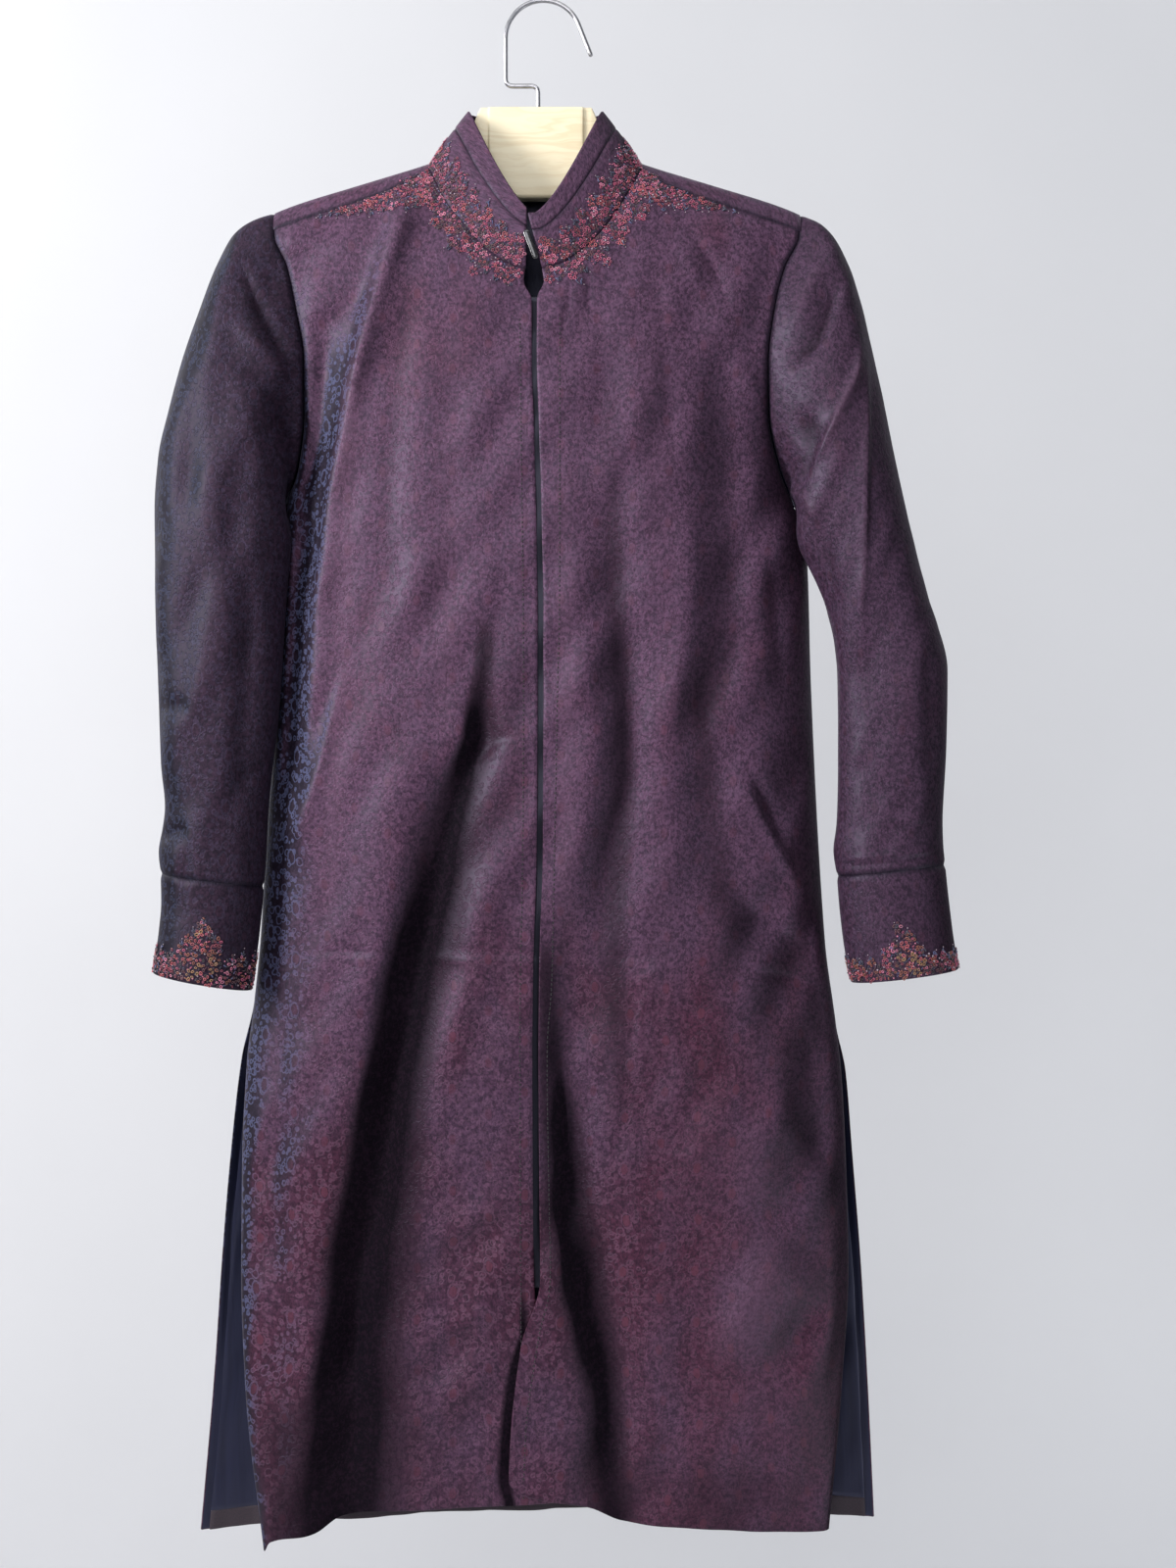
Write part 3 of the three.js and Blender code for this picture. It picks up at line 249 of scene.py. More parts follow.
# Creases: depth (a ridge when negative), half width, sharpness from 0 to 1, lean (the side on
# the route's right is that much wider), then the route as x and drop
CREASES = {
    "front": [
        # shoulder crease on the wearer's right and the hollow beside it
        (-3.5, 8, 0.9, -0.5, (-112, 192), (-127, 237), (-140, 275), (-153, 335), (-162, 373), (-169, 411),
         (-175, 463), (-180, 501), (-191, 614)),
        (3.0, 7, 0.2, 0, (-124, 205), (-139, 245), (-152, 290), (-166, 350), (-176, 410), (-184, 480)),
        (-3.2, 9, 0.8, -0.4, (-150, 520), (-163, 565), (-178, 620), (-199, 668)),
        (2.4, 9, 0.2, 0, (-168, 540), (-184, 600), (-206, 650)),
        (1.8, 8, 0.3, 0, (-134, 233), (-158, 254), (-184, 271)),
        # bands under the neck on the wearer's right
        (2.6, 11, 0.1, 0, (-98, 200), (-108, 262), (-116, 335), (-122, 420), (-124, 480)),
        (-2.0, 13, 0.0, 0, (-80, 225), (-88, 300), (-94, 380), (-98, 460), (-104, 560)),
        (1.6, 12, 0.0, 0, (-62, 250), (-66, 330), (-70, 420), (-66, 520)),
        (0.9, 6, 0.7, 0, (-55, 362), (-78, 379), (-101, 399)),
        (1.2, 8, 0.2, 0, (-28, 430), (-34, 500), (-46, 560)),
        # long valley on the wearer's right, from a thin crease beside the opening
        (2.4, 5, 0.8, 0.4, (-17, 579), (-29, 587), (-50, 600), (-62, 616)),
        (8.5, 15, 0.35, 0.5, (-50, 598), (-63, 620), (-71, 650), (-80, 690), (-90, 735), (-99, 775),
         (-108, 820), (-117, 865), (-124, 940), (-141, 995), (-147, 1048), (-150, 1128), (-153, 1186)),
        (-4.0, 17, 0.1, 0, (-30, 640), (-44, 700), (-56, 760), (-70, 830), (-82, 900), (-92, 960)),
        (-3.2, 14, 0.2, 0, (-104, 650), (-120, 720), (-136, 800), (-148, 880), (-166, 960)),
        (2.5, 10, 0.2, 0, (-196, 770), (-206, 850), (-212, 950), (-208, 1060)),
        # soft valleys beside the opening on the wearer's left
        (3.0, 13, 0.2, -0.4, (57, 465), (66, 530), (69, 612), (55, 660), (46, 712), (50, 764)),
        (-3.0, 15, 0.1, 0, (36, 470), (36, 540), (40, 610), (30, 670), (24, 730)),
        (7.0, 13, 0.35, -0.5, (17, 800), (18, 850), (20, 916), (20, 968), (37, 1048), (51, 1100),
         (48, 1178)),
        (-3.0, 16, 0.1, 0, (62, 880), (72, 960), (88, 1040), (96, 1120)),
        # bands under the sleeve on the wearer's left
        (1.2, 12, 0.2, 0, (144, 335), (146, 420), (144, 508), (124, 567), (124, 640), (139, 687)),
        (-2.6, 12, 0.1, 0, (112, 380), (114, 470), (104, 550), (98, 620)),
        (2.0, 11, 0.5, 0.3, (139, 690), (160, 716), (184, 736), (212, 752)),
        (-3.4, 9, 0.5, 0, (152, 614), (180, 664), (209, 716)),
        (2.8, 7, 0.5, 0, (158, 605), (176, 640), (194, 682)),
        (2.0, 8, 0.2, 0, (176, 420), (182, 480), (188, 560)),
        # creases from the neck on the wearer's left
        (2.2, 4.5, 0.9, 0, (106, 181), (118, 196), (126, 207), (135, 222), (144, 248), (149, 262)),
        (-1.6, 7, 0.5, 0, (100, 190), (112, 210), (122, 235), (128, 260)),
        (-1.8, 8, 0.3, 0, (144, 290), (158, 302), (171, 313)),
        (1.6, 8, 0.1, 0, (84, 205), (92, 260), (98, 330), (100, 400)),
        (-1.4, 10, 0.0, 0, (66, 230), (70, 300), (76, 380), (74, 450)),
        (1.0, 8, 0.0, 0, (44, 240), (46, 300), (44, 370)),
        (1.2, 4, 0.6, 0, (22, 222), (20, 250), (12, 280)),
        (1.2, 4, 0.6, 0, (34, 214), (36, 240), (34, 262)),
        # packing crease across both fronts
        (1.3, 3, 0.9, 0, (-184, 754), (-160, 751), (-130, 752), (-98, 750)),
        (1.4, 3, 0.9, 0, (-74, 751), (-40, 752), (-10, 753), (20, 754)),
        (1.2, 3, 0.9, 0, (52, 757), (70, 755), (90, 753)),
        (1.6, 4, 0.7, 0, (132, 766), (160, 768), (190, 774), (219, 781)),
        (-1.0, 5, 0.5, 0, (-170, 758), (-120, 757), (-60, 757), (10, 759)),
        # star of creases below it
        (-2.2, 5, 0.9, 0, (72, 778), (84, 768), (95, 762)),
        (-2.0, 5, 0.9, 0, (94, 763), (84, 780), (76, 800), (71, 832)),
        (1.8, 5, 0.6, 0, (66, 776), (72, 800), (64, 840), (60, 880)),
        (1.6, 6, 0.6, 0, (76, 824), (68, 860), (60, 890), (53, 922)),
        (-1.6, 6, 0.6, 0, (95, 914), (110, 911), (128, 904)),
        (1.2, 5, 0.6, 0, (90, 922), (108, 918), (130, 913)),
        (1.2, 5, 0.7, 0, (-66, 806), (-52, 801), (-40, 799)),
        (-1.8, 7, 0.5, 0, (92, 792), (104, 830), (110, 870)),
        # slanted ridges across the lower right front
        (-3.6, 12, 0.3, 0.4, (-8, 934), (-36, 950), (-62, 964), (-92, 982)),
        (3.0, 12, 0.2, 0, (-12, 956), (-44, 974), (-84, 998), (-112, 1016)),
        (-3.2, 12, 0.3, 0.4, (-30, 1022), (-60, 1038), (-84, 1052), (-110, 1068)),
        (2.6, 12, 0.2, 0, (-34, 1046), (-66, 1062), (-108, 1090)),
        (-2.8, 12, 0.3, 0.4, (-34, 1078), (-66, 1094), (-112, 1120)),
        (1.6, 9, 0.2, 0, (-60, 880), (-84, 900), (-104, 922)),
        (-2.0, 12, 0.1, 0, (-178, 1000), (-184, 1060), (-186, 1130), (-190, 1200)),
        (2.0, 10, 0.1, 0, (-206, 1080), (-208, 1150), (-210, 1216)),
        # swell on the lower left front and what surrounds it
        (-5.0, 26, 0.1, 0, (204, 980), (184, 1006), (160, 1034), (132, 1068)),
        (3.6, 14, 0.2, 0, (214, 1022), (196, 1048), (168, 1076), (140, 1096)),
        (3.4, 14, 0.2, 0, (128, 930), (150, 950), (176, 958), (206, 950)),
        (-2.6, 14, 0.2, 0, (112, 1128), (150, 1140), (190, 1142), (222, 1130)),
        (2.4, 12, 0.2, 0, (206, 800), (214, 870), (220, 930)),
        (-2.4, 14, 0.1, 0, (178, 800), (184, 860), (180, 910)),
        (2.0, 10, 0.1, 0, (100, 1090), (96, 1140), (92, 1190)),
    ],
    "back": [
        (3.4, 12, 0.3, 0, (-150, 300), (-158, 400), (-168, 520), (-178, 640)),
        (3.6, 12, 0.3, 0, (140, 300), (150, 400), (156, 520), (168, 640)),
        (-2.6, 14, 0.1, 0, (-120, 330), (-124, 460), (-130, 600)),
        (-2.6, 14, 0.1, 0, (112, 330), (116, 460), (120, 600)),
        (4.6, 14, 0.3, 0.4, (-86, 460), (-96, 600), (-112, 760), (-126, 900), (-140, 1060), (-150, 1200)),
        (4.8, 14, 0.3, -0.4, (72, 560), (80, 700), (94, 840), (104, 980), (110, 1200)),
        (3.2, 14, 0.2, 0, (-8, 720), (-14, 900), (-20, 1060), (-22, 1200)),
        (-3.0, 16, 0.1, 0, (-50, 640), (-60, 800), (-76, 960), (-90, 1120)),
        (-3.0, 16, 0.1, 0, (40, 640), (44, 800), (48, 960), (46, 1120)),
        (1.4, 3, 0.9, 0, (-200, 756), (-140, 752), (-80, 753), (-10, 751)),
        (1.4, 3, 0.9, 0, (14, 752), (80, 755), (140, 752), (206, 757)),
        (-2.0, 5, 0.8, 0, (-60, 770), (-44, 758), (-34, 782), (-24, 806)),
        (1.8, 6, 0.6, 0, (-30, 812), (-40, 850), (-36, 900)),
        (2.4, 8, 0.5, 0, (-176, 600), (-190, 660), (-214, 720)),
        (2.4, 8, 0.5, 0, (170, 590), (190, 650), (214, 716)),
        (2.0, 6, 0.6, 0, (-96, 160), (-104, 200), (-118, 250), (-128, 300)),
        (2.0, 6, 0.6, 0, (86, 158), (94, 200), (106, 248), (114, 300)),
        (-1.8, 10, 0.1, 0, (-30, 200), (-34, 300), (-30, 400)),
        (1.6, 10, 0.1, 0, (4, 190), (8, 300), (4, 420)),
        (-3.4, 20, 0.1, 0, (-200, 980), (-204, 1060), (-210, 1160)),
        (-3.4, 20, 0.1, 0, (190, 960), (196, 1060), (200, 1160)),
        (2.6, 12, 0.2, 0, (-120, 990), (-90, 1012), (-56, 1030)),
        (2.6, 12, 0.2, 0, (140, 1020), (110, 1046), (76, 1062)),
    ],
    "right sleeve front": [
        (4.5, 9, 0.4, 0.4, (-240, 206), (-232, 224), (-222, 246), (-207, 276), (-195, 304)),
        (-4.0, 8, 0.5, -0.3, (-247, 262), (-234, 270), (-222, 281), (-206, 296), (-194, 308)),
        (2.6, 9, 0.2, 0, (-246, 290), (-228, 300), (-212, 316), (-203, 340), (-198, 366)),
        (-2.0, 10, 0.2, 0, (-230, 330), (-222, 362), (-216, 400)),
        (1.8, 12, 0.1, 0, (-268, 300), (-274, 380), (-276, 460), (-272, 540)),
        (-1.8, 14, 0.0, 0, (-250, 340), (-254, 440), (-252, 540), (-250, 640)),
        (2.2, 9, 0.2, 0, (-226, 430), (-228, 500), (-232, 580), (-236, 650)),
        (2.6, 7, 0.6, 0, (-306, 556), (-292, 562), (-272, 560)),
        (2.4, 7, 0.6, 0, (-304, 664), (-290, 660), (-274, 656)),
        (1.6, 7, 0.4, 0, (-214, 600), (-226, 612), (-240, 618)),
        (-1.2, 7, 0.3, 0, (-262, 640), (-266, 680), (-268, 700), (-270, 768)),
        (1.2, 6, 0.3, 0, (-276, 650), (-279, 700), (-280, 750)),
    ],
    "left sleeve front": [
        (5.5, 8, 0.7, 0.4, (236, 226), (228, 240), (222, 258), (212, 280), (198, 290), (186, 299)),
        (-3.6, 9, 0.4, 0, (218, 204), (210, 226), (200, 250), (188, 274)),
        (-4.6, 7, 0.9, -0.3, (248, 266), (243, 300), (232, 326), (224, 344), (210, 374), (199, 402)),
        (4.6, 11, 0.4, 0, (190, 330), (204, 344), (210, 360), (204, 384), (199, 396)),
        (-2.8, 5, 0.8, 0, (186, 383), (196, 390), (206, 400), (214, 420)),
        (1.8, 5, 0.5, 0, (214, 414), (222, 450), (232, 500)),
        (-3.4, 6, 0.9, 0.5, (252, 272), (251, 333), (250, 390), (249, 440), (248, 486), (250, 540)),
        (1.8, 12, 0.1, 0, (232, 430), (246, 500), (258, 560), (262, 630)),
        (-1.6, 12, 0.0, 0, (278, 420), (286, 500), (288, 580), (284, 650)),
        (1.6, 8, 0.1, 0, (296, 500), (302, 570), (300, 640)),
        (-1.4, 3, 0.9, 0, (232, 681), (260, 678), (284, 676), (309, 673)),
        (1.6, 4, 0.8, 0, (231, 686), (270, 682), (314, 676)),
        (-1.2, 3, 0.9, 0, (262, 651), (288, 649), (309, 647)),
        (2.0, 7, 0.5, 0, (318, 590), (300, 596), (284, 592)),
        (1.4, 7, 0.3, 0, (240, 600), (252, 616), (262, 640)),
    ],
    "right sleeve back": [
        (4.0, 10, 0.4, 0, (-236, 212), (-226, 240), (-214, 276), (-204, 310)),
        (-3.4, 10, 0.3, 0, (-252, 260), (-236, 290), (-220, 330), (-210, 380)),
        (2.4, 12, 0.2, 0, (-276, 320), (-270, 420), (-262, 520), (-258, 620)),
        (-2.0, 12, 0.1, 0, (-246, 400), (-244, 500), (-240, 600)),
        (2.4, 7, 0.6, 0, (-300, 520), (-276, 530), (-252, 524)),
        (2.0, 7, 0.5, 0, (-222, 560), (-244, 574), (-262, 572)),
    ],
    "left sleeve back": [
        (4.0, 10, 0.4, 0, (228, 214), (218, 244), (206, 280), (196, 312)),
        (-3.4, 10, 0.3, 0, (246, 262), (232, 296), (218, 336), (206, 384)),
        (2.4, 12, 0.2, 0, (264, 330), (276, 430), (284, 520), (282, 620)),
        (-2.0, 12, 0.1, 0, (240, 420), (252, 510), (258, 600)),
        (2.4, 7, 0.6, 0, (310, 540), (286, 552), (262, 546)),
        (2.0, 7, 0.5, 0, (240, 590), (262, 602), (284, 598)),
    ],
}

SLEEVE_COLUMNS = "at out_x out_drop in_x in_drop mid_y half"
RIGHT_SLEEVE = Table(
    SLEEVE_COLUMNS,
    (0, -213, 170, -204, 400, -2, 25),
    (1, -231, 177, -207, 403, -6, 29),
    (2, -244.5, 188, -204.5, 407, -10, 33),
    (3, -257.5, 212, -202, 412, -13, 36),
    (4, -270.5, 247, -200, 420, -16, 37),
    (5, -284, 287, -198.5, 430, -18, 37),
    (6, -295, 329, -199.5, 444, -19, 37),
    (7, -303, 367, -201, 462, -20, 36),
    (8, -305.8, 408, -202.5, 482, -20, 36),
    (9, -305, 470, -205, 520, -20, 35),
    (10, -303, 544, -208, 562, -20, 34),
    (11, -300.5, 606, -214, 615, -20, 32),
    (12, -297.5, 640, -216.5, 646, -20, 31),
    (13, -302.5, 675, -218.5, 681, -20, 31),
    (14, -301, 692, -220, 702, -20, 31),
    (15, -300.5, 714, -221.5, 720, -20, 31),
    (16, -302.5, 738, -224, 743, -20, 32),
    (17, -307, 769, -229.5, 783, -20, 33),
)
LEFT_SLEEVE = Table(
    SLEEVE_COLUMNS,
    (0, 203, 170, 199.5, 400, -2, 25),
    (1, 217, 177, 202, 404, -6, 29),
    (2, 228, 188, 201, 410, -10, 33),
    (3, 240, 211, 200, 417, -13, 36),
    (4, 250, 242, 199.5, 425, -16, 37),
    (5, 259, 281, 201.5, 436, -18, 37),
    (6, 268, 323, 208, 449, -19, 36),
    (7, 277, 368, 216, 466, -20, 35),
    (8, 288.5, 420, 224, 487, -20, 34),
    (9, 302.5, 475, 229.5, 515, -20, 33),
    (10, 318, 533, 232, 548, -20, 32),
    (11, 317, 591, 232, 602, -20, 31),
    (12, 314, 648, 231, 652, -20, 31),
    (13, 314.5, 668, 228.5, 674, -20, 31),
    (14, 316, 685, 231, 694, -20, 31),
    (15, 319, 714, 233, 718, -20, 31),
    (16, 322.5, 742, 236.5, 748, -20, 32),
    (17, 326.5, 766, 242, 777, -20, 33),
)
CUFF_STATION = 14
LAST_STATION = 17
ARMHOLE_FADE = 5


# The surface of the body


def smooth(start, end, value):
    share = np.clip((value - start) / (end - start), 0, 1)
    return share * share * (3 - 2 * share)


def mix(a, b, share):
    return a + (b - a) * share


def spline(route, steps):
    """Points along a smooth line through the places of a route."""
    route = np.array(route, float)
    ends = np.vstack([2 * route[0] - route[1], route, 2 * route[-1] - route[-2]])
    t = np.linspace(0, 1, steps, endpoint=False)[:, None]
    spans = []
    for a, b, c, d in zip(ends, ends[1:], ends[2:], ends[3:]):
        square, cube = 2 * a - 5 * b + 4 * c - d, 3 * b - a - 3 * c + d
        spans.append(0.5 * (2 * b + (c - a) * t + square * t**2 + cube * t**3))
    return np.vstack([*spans, route[-1:]])


def crease(x, drop, depth, half, sharp, lean, *route):
    """Depth of one crease at each point, fading at both ends of its route."""
    line = spline(route, CREASE["steps"])
    reach = half * CREASE["reach"]
    near = (x > line[:, 0].min() - reach) & (x < line[:, 0].max() + reach)
    near &= (drop > line[:, 1].min() - reach) & (drop < line[:, 1].max() + reach)
    result = np.zeros(x.shape)
    if not near.any():
        return result
    point = np.stack([x[near], drop[near]], -1)[:, None]
    start, span = line[:-1], np.diff(line, axis=0)
    length = np.linalg.norm(span, axis=1)
    t = ((point - start) * span).sum(-1) / length**2
    away = point - (start + span * np.clip(t, 0, 1)[..., None])
    distance = np.linalg.norm(away, axis=-1)
    best = distance.argmin(1)[:, None]
    pick = lambda values: np.take_along_axis(values, best, 1)[:, 0]
    side = np.sign(pick(span[:, 0] * away[..., 1] - span[:, 1] * away[..., 0]))
    travelled = np.concatenate([[0], np.cumsum(length)])
    at = (travelled[best[:, 0]] + pick(np.clip(t, 0, 1)) * length[best[:, 0]]) / travelled[-1]
    s = pick(distance) / (half * (1 + lean * side))
    soft = np.exp(-s * s)
    crisp = np.exp(CREASE["tip"] - np.sqrt(CREASE["tip"] ** 2 + (CREASE["crisp"] * s) ** 2))
    fade = smooth(*CREASE["fade_in"], at) * (1 - smooth(*CREASE["fade_out"], at))
    result[near] = depth * fade * mix(soft, crisp, sharp)
    return result


def undulation(x, drop, seed, height=WAVES["height"]):
    draw = np.random.default_rng(seed)
    total = np.zeros(x.shape)
    for _ in range(WAVES["count"]):
        across, down = draw.uniform(*WAVES["across"]), draw.uniform(*WAVES["down"])
        lean, phase = draw.uniform(-WAVES["lean"], WAVES["lean"]), draw.uniform(0, 2 * math.pi)
        wave = np.sin(2 * math.pi * ((x + lean * drop) / across + drop / down) + phase)
        total += wave * across / WAVES["across"][1]
    return total * height


def creases(name, x, drop):
    depth = undulation(x, drop, seed=sorted(CREASES).index(name) + 3)
    for row in CREASES[name]:
        depth = depth + crease(x, drop, *row)
    return depth


def ridge_drop(out):
    """Drop of the shoulder's top line."""
    return SHOULDER("ridge", out)


def seam_fall(out):
    """How far the shoulder seam lies below that line, on the front."""
    return SHOULDER("fall", out)


def outline(name, x, drop):
    right = x < MIDDLE("x", drop)
    return np.where(right, RIGHT_OUTLINE(name, drop), LEFT_OUTLINE(name, drop))


def main_folds(face, x, drop):
    total = np.zeros(np.broadcast(x, drop).shape)
    for depth, *route in MAIN_FOLDS[face]:
        rows = np.array(route, float)
        half = monotone(rows[:, 0], rows[:, 2], drop)
        away = (x - monotone(rows[:, 0], rows[:, 1], drop)) / half
        start, end = rows[0, 0], rows[-1, 0]
        fade = smooth(start - FOLD_FADE, start, drop) * (1 - smooth(end, end + FOLD_FADE, drop))
        total += depth * np.exp(-away * away) * fade
    return total


def ridge_share(below, length, drop):
    share = 1 - np.exp(-((np.maximum(below, 0) / length) ** RIDGE["power"]))
    return mix(share, 1, smooth(RIDGE["fade_start"], RIDGE["fade_end"], drop))


def section_depth(face, x, drop):
    middle = MIDDLE("x", drop)
    across = np.clip((x - middle) / (outline(face + "_x", x, drop) - middle), 0, 1)
    cut = SECTION[face]
    root = mix(cut["yoke_root"], cut["root"], smooth(YOKE_END, UNDERARM_DROP, drop))
    fullness = (1 - across ** cut["power"]) ** root
    return mix(outline(face + "_y", x, drop), MIDDLE(face + "_y", drop), fullness)


def calm(face, x, drop):
    return smooth(0, EDGE_CALM, np.abs(outline(face + "_x", x, drop) - x))


def points(x, y, drop):
    return np.stack(np.broadcast_arrays(x, y, -drop), -1)


def fold_depth(face, x, drop, fine=True):
    """How far the cloth lies below its unfolded form."""
    x, drop = np.broadcast_arrays(np.asarray(x, float), np.asarray(drop, float))
    depth = main_folds(face, x, drop)
    if fine:
        below = drop - ridge_drop(np.abs(x - NECK_CENTRE))
        depth = depth + smooth(*CREASE["start"], below) * creases(face, x, drop)
    return calm(face, x, drop) * depth


def front(x, drop, fine=True):
    """Points of the front of the body at these places across and below the hook."""
    x, drop = np.broadcast_arrays(np.asarray(x, float), np.asarray(drop, float))
    below = drop - ridge_drop(np.abs(x - NECK_CENTRE))
    y = section_depth("front", x, drop) * ridge_share(below, RIDGE["front"], drop)
    return points(x, y + fold_depth("front", x, drop, fine), drop)


def back(x, drop, fine=True):
    x, drop = np.broadcast_arrays(np.asarray(x, float), np.asarray(drop, float))
    out = np.abs(x - NECK_CENTRE)
    below = drop - ridge_drop(out)
    inside = np.clip(out / NECK_HALF, 0, 1)
    pinch = 1 - np.sqrt(1 - inside**2)
    share = mix(1, ridge_share(below, RIDGE["back"], drop), pinch)
    y = section_depth("back", x, drop) * share
    return points(x, y - fold_depth("back", x, drop, fine), drop)


class Spread:
    """Lengths along the cloth from the middle and from one level, for places on the body."""

    LEVEL = 500
    ACROSS = (-300, 301, 2.0)
    DOWN = (90, 1245, 5.0)

    def __init__(self, surface):
        self.across = np.arange(*self.ACROSS)
        self.down = np.arange(*self.DOWN)
        grid = surface(self.across[None], self.down[:, None])
        widths = np.linalg.norm(np.diff(grid, axis=1), axis=-1)
        heights = np.linalg.norm(np.diff(grid, axis=0), axis=-1)
        widths = np.pad(np.cumsum(widths, 1), ((0, 0), (1, 0)))
        heights = np.pad(np.cumsum(heights, 0), ((1, 0), (0, 0)))
        middle = len(self.across) // 2
        level = int(np.searchsorted(self.down, self.LEVEL))
        self.widths = widths - widths[:, middle: middle + 1]
        self.heights = heights - heights[level: level + 1]

    def __call__(self, x, drop):
        column, row = (np.clip((at - line[0]) / (line[1] - line[0]), 0, len(line) - 1.001)
                       for at, line in ((x, self.across), (drop, self.down)))
        c, r = column.astype(int), row.astype(int)
        a, b = column - c, row - r
        pick = lambda t: mix(mix(t[r, c], t[r, c + 1], a), mix(t[r + 1, c], t[r + 1, c + 1], a), b)
        return np.stack([pick(self.widths), pick(self.heights)], -1)


def neck_edge_drop(out):
    return NECK_DROP + NECK_DEPTH * (1 - np.clip(out / NECK_HALF, 0, 1) ** 2) ** NECK_POWER


# Grids, walls and meshes

# The angle in degrees past which an edge looks sharp, and the radii of a rod's round ends, as
# shares of its own
SHARP = 50
ROD_CAPS = (0.9, 0.6, 0.2)


def grid_normals(grid, around=False):
    padded = np.concatenate([grid[:1], grid, grid[-1:]])
    down = padded[2:] - padded[:-2]
    if around:
        wide = np.concatenate([grid[:, -1:], grid, grid[:, :1]], 1)
    else:
        wide = np.concatenate([grid[:, :1], grid, grid[:, -1:]], 1)
    across = wide[:, 2:] - wide[:, :-2]
    normal = np.cross(down, across)
    return normal / np.maximum(np.linalg.norm(normal, axis=-1, keepdims=True), 1e-9)


def cloth_map(grid, around=False):
    """Lengths along the cloth, across and down, in millimetres."""
    line = np.concatenate([grid, grid[:, :1]], 1) if around else grid
    across = np.linalg.norm(np.diff(line, axis=1), axis=-1)
    across = np.concatenate([np.zeros((len(line), 1)), np.cumsum(across, 1)], 1)
    down = np.linalg.norm(np.diff(line, axis=0), axis=-1)
    down = np.concatenate([np.zeros((1, line.shape[1])), np.cumsum(down, 0)])
    return np.stack([across, down], -1)


def quads(rows, columns, around, flip=False):
    r, c = np.meshgrid(np.arange(rows - 1), np.arange(columns if around else columns - 1), indexing="ij")
    a, b = r * columns + c, (r + 1) * columns + c
    right = (c + 1) % columns
    d, e = r * columns + right, (r + 1) * columns + right
    loop = np.stack([a, b, e, d] if not flip else [a, d, e, b], -1).reshape(-1, 4)
    cell = np.stack([r, c], -1).reshape(-1, 2)
    return loop, cell


def wall(name, grid, thickness, around=False, lengths=None, fold=None, seam=None):
    """A closed wall of cloth: a grid, the same grid moved in, and rounded rims between them."""
    rows, columns = grid.shape[:2]
    total = rows * columns
    normal = grid_normals(grid, around)
    inner = grid - normal * thickness
    lengths = cloth_map(grid, around) if lengths is None else lengths
    outer_quads, cell = quads(rows, columns, around)
    inner_quads, _ = quads(rows, columns, around, flip=True)
    corners = [lengths[cell[:, 0] + down, cell[:, 1] + across]
               for down, across in ((0, 0), (1, 0), (1, 1), (0, 1))]
    outer_maps = np.stack(corners, 1)
    inner_maps = np.stack([corners[0], corners[3], corners[2], corners[1]], 1)
    faces, maps = [outer_quads, inner_quads + total], [outer_maps, inner_maps]
    index = np.arange(total).reshape(rows, columns)
    flat, places = grid.reshape(-1, 3), lengths[:, :columns].reshape(-1, 2)
    middle_of = (flat + inner.reshape(-1, 3)) / 2
    sides = [("top", index[0], index[1], 1), ("bottom", index[-1], index[-2], -1)]
    if not around:
        sides += [("left", index[:, 0], index[:, 1], -1), ("right", index[:, -1], index[:, -2], 1)]
    vertices, sources, ends = [flat, inner.reshape(-1, 3)], [np.arange(total), np.arange(total)], {}
    count = 2 * total
    for side, edge, neighbour, turn in sides:
        outwards = flat[edge] - flat[neighbour]
        outwards /= np.maximum(np.linalg.norm(outwards, axis=-1, keepdims=True), 1e-9)
        vertices.append(middle_of[edge] + outwards * thickness / 2)
        sources.append(edge)
        ids = np.arange(count, count + len(edge))
        count += len(edge)
        ends[side] = {edge[0]: (ids[0], outwards[0]), edge[-1]: (ids[-1], outwards[-1])}
        if around:
            edge, ids = np.append(edge, edge[0]), np.append(ids, ids[0])
        for first, second in ((edge, ids), (ids, edge + total)):
            loop = np.stack([first[:-1], first[1:], second[1:], second[:-1]], -1)
            faces.append(loop if turn > 0 else loop[:, ::-1])
            place = np.stack([places[edge[:-1]], places[edge[1:]], places[edge[1:]], places[edge[:-1]]], 1)
            maps.append(place if turn > 0 else place[:, ::-1])
    vertices, sources = np.vstack(vertices), np.concatenate(sources)
    if not around:
        for level, side in (("top", "left"), ("top", "right"), ("bottom", "left"), ("bottom", "right")):
            corner = next(c for c in ends[level] if c in ends[side])
            (first, one), (second, other) = ends[level][corner], ends[side][corner]
            loop = np.array([corner, first, corner + total, second])
            p = vertices[loop]
            if np.cross(p[2] - p[0], p[3] - p[1]) @ (one + other) < 0:
                loop = loop[::-1]
            faces.append(loop[None])
            maps.append(np.repeat(places[corner][None, None], 4, 1))
    inside = np.zeros(sum(map(len, faces)), int)
    inside[len(outer_quads): 2 * len(outer_quads)] = 1
    # Marks for the cloth's painted light: the normal's part along X for painted sheen and shade, the painted
    # fold shade, and the seam ditches for painted seam shade
    marks = {"turn": normal[..., 0], "fold": fold, "seam": seam}
    marks = {key: np.zeros(len(sources)) if values is None else values.reshape(-1)[sources]
             for key, values in marks.items()}
    return solid(name, vertices, np.vstack(faces), np.vstack(maps), inside, marks)


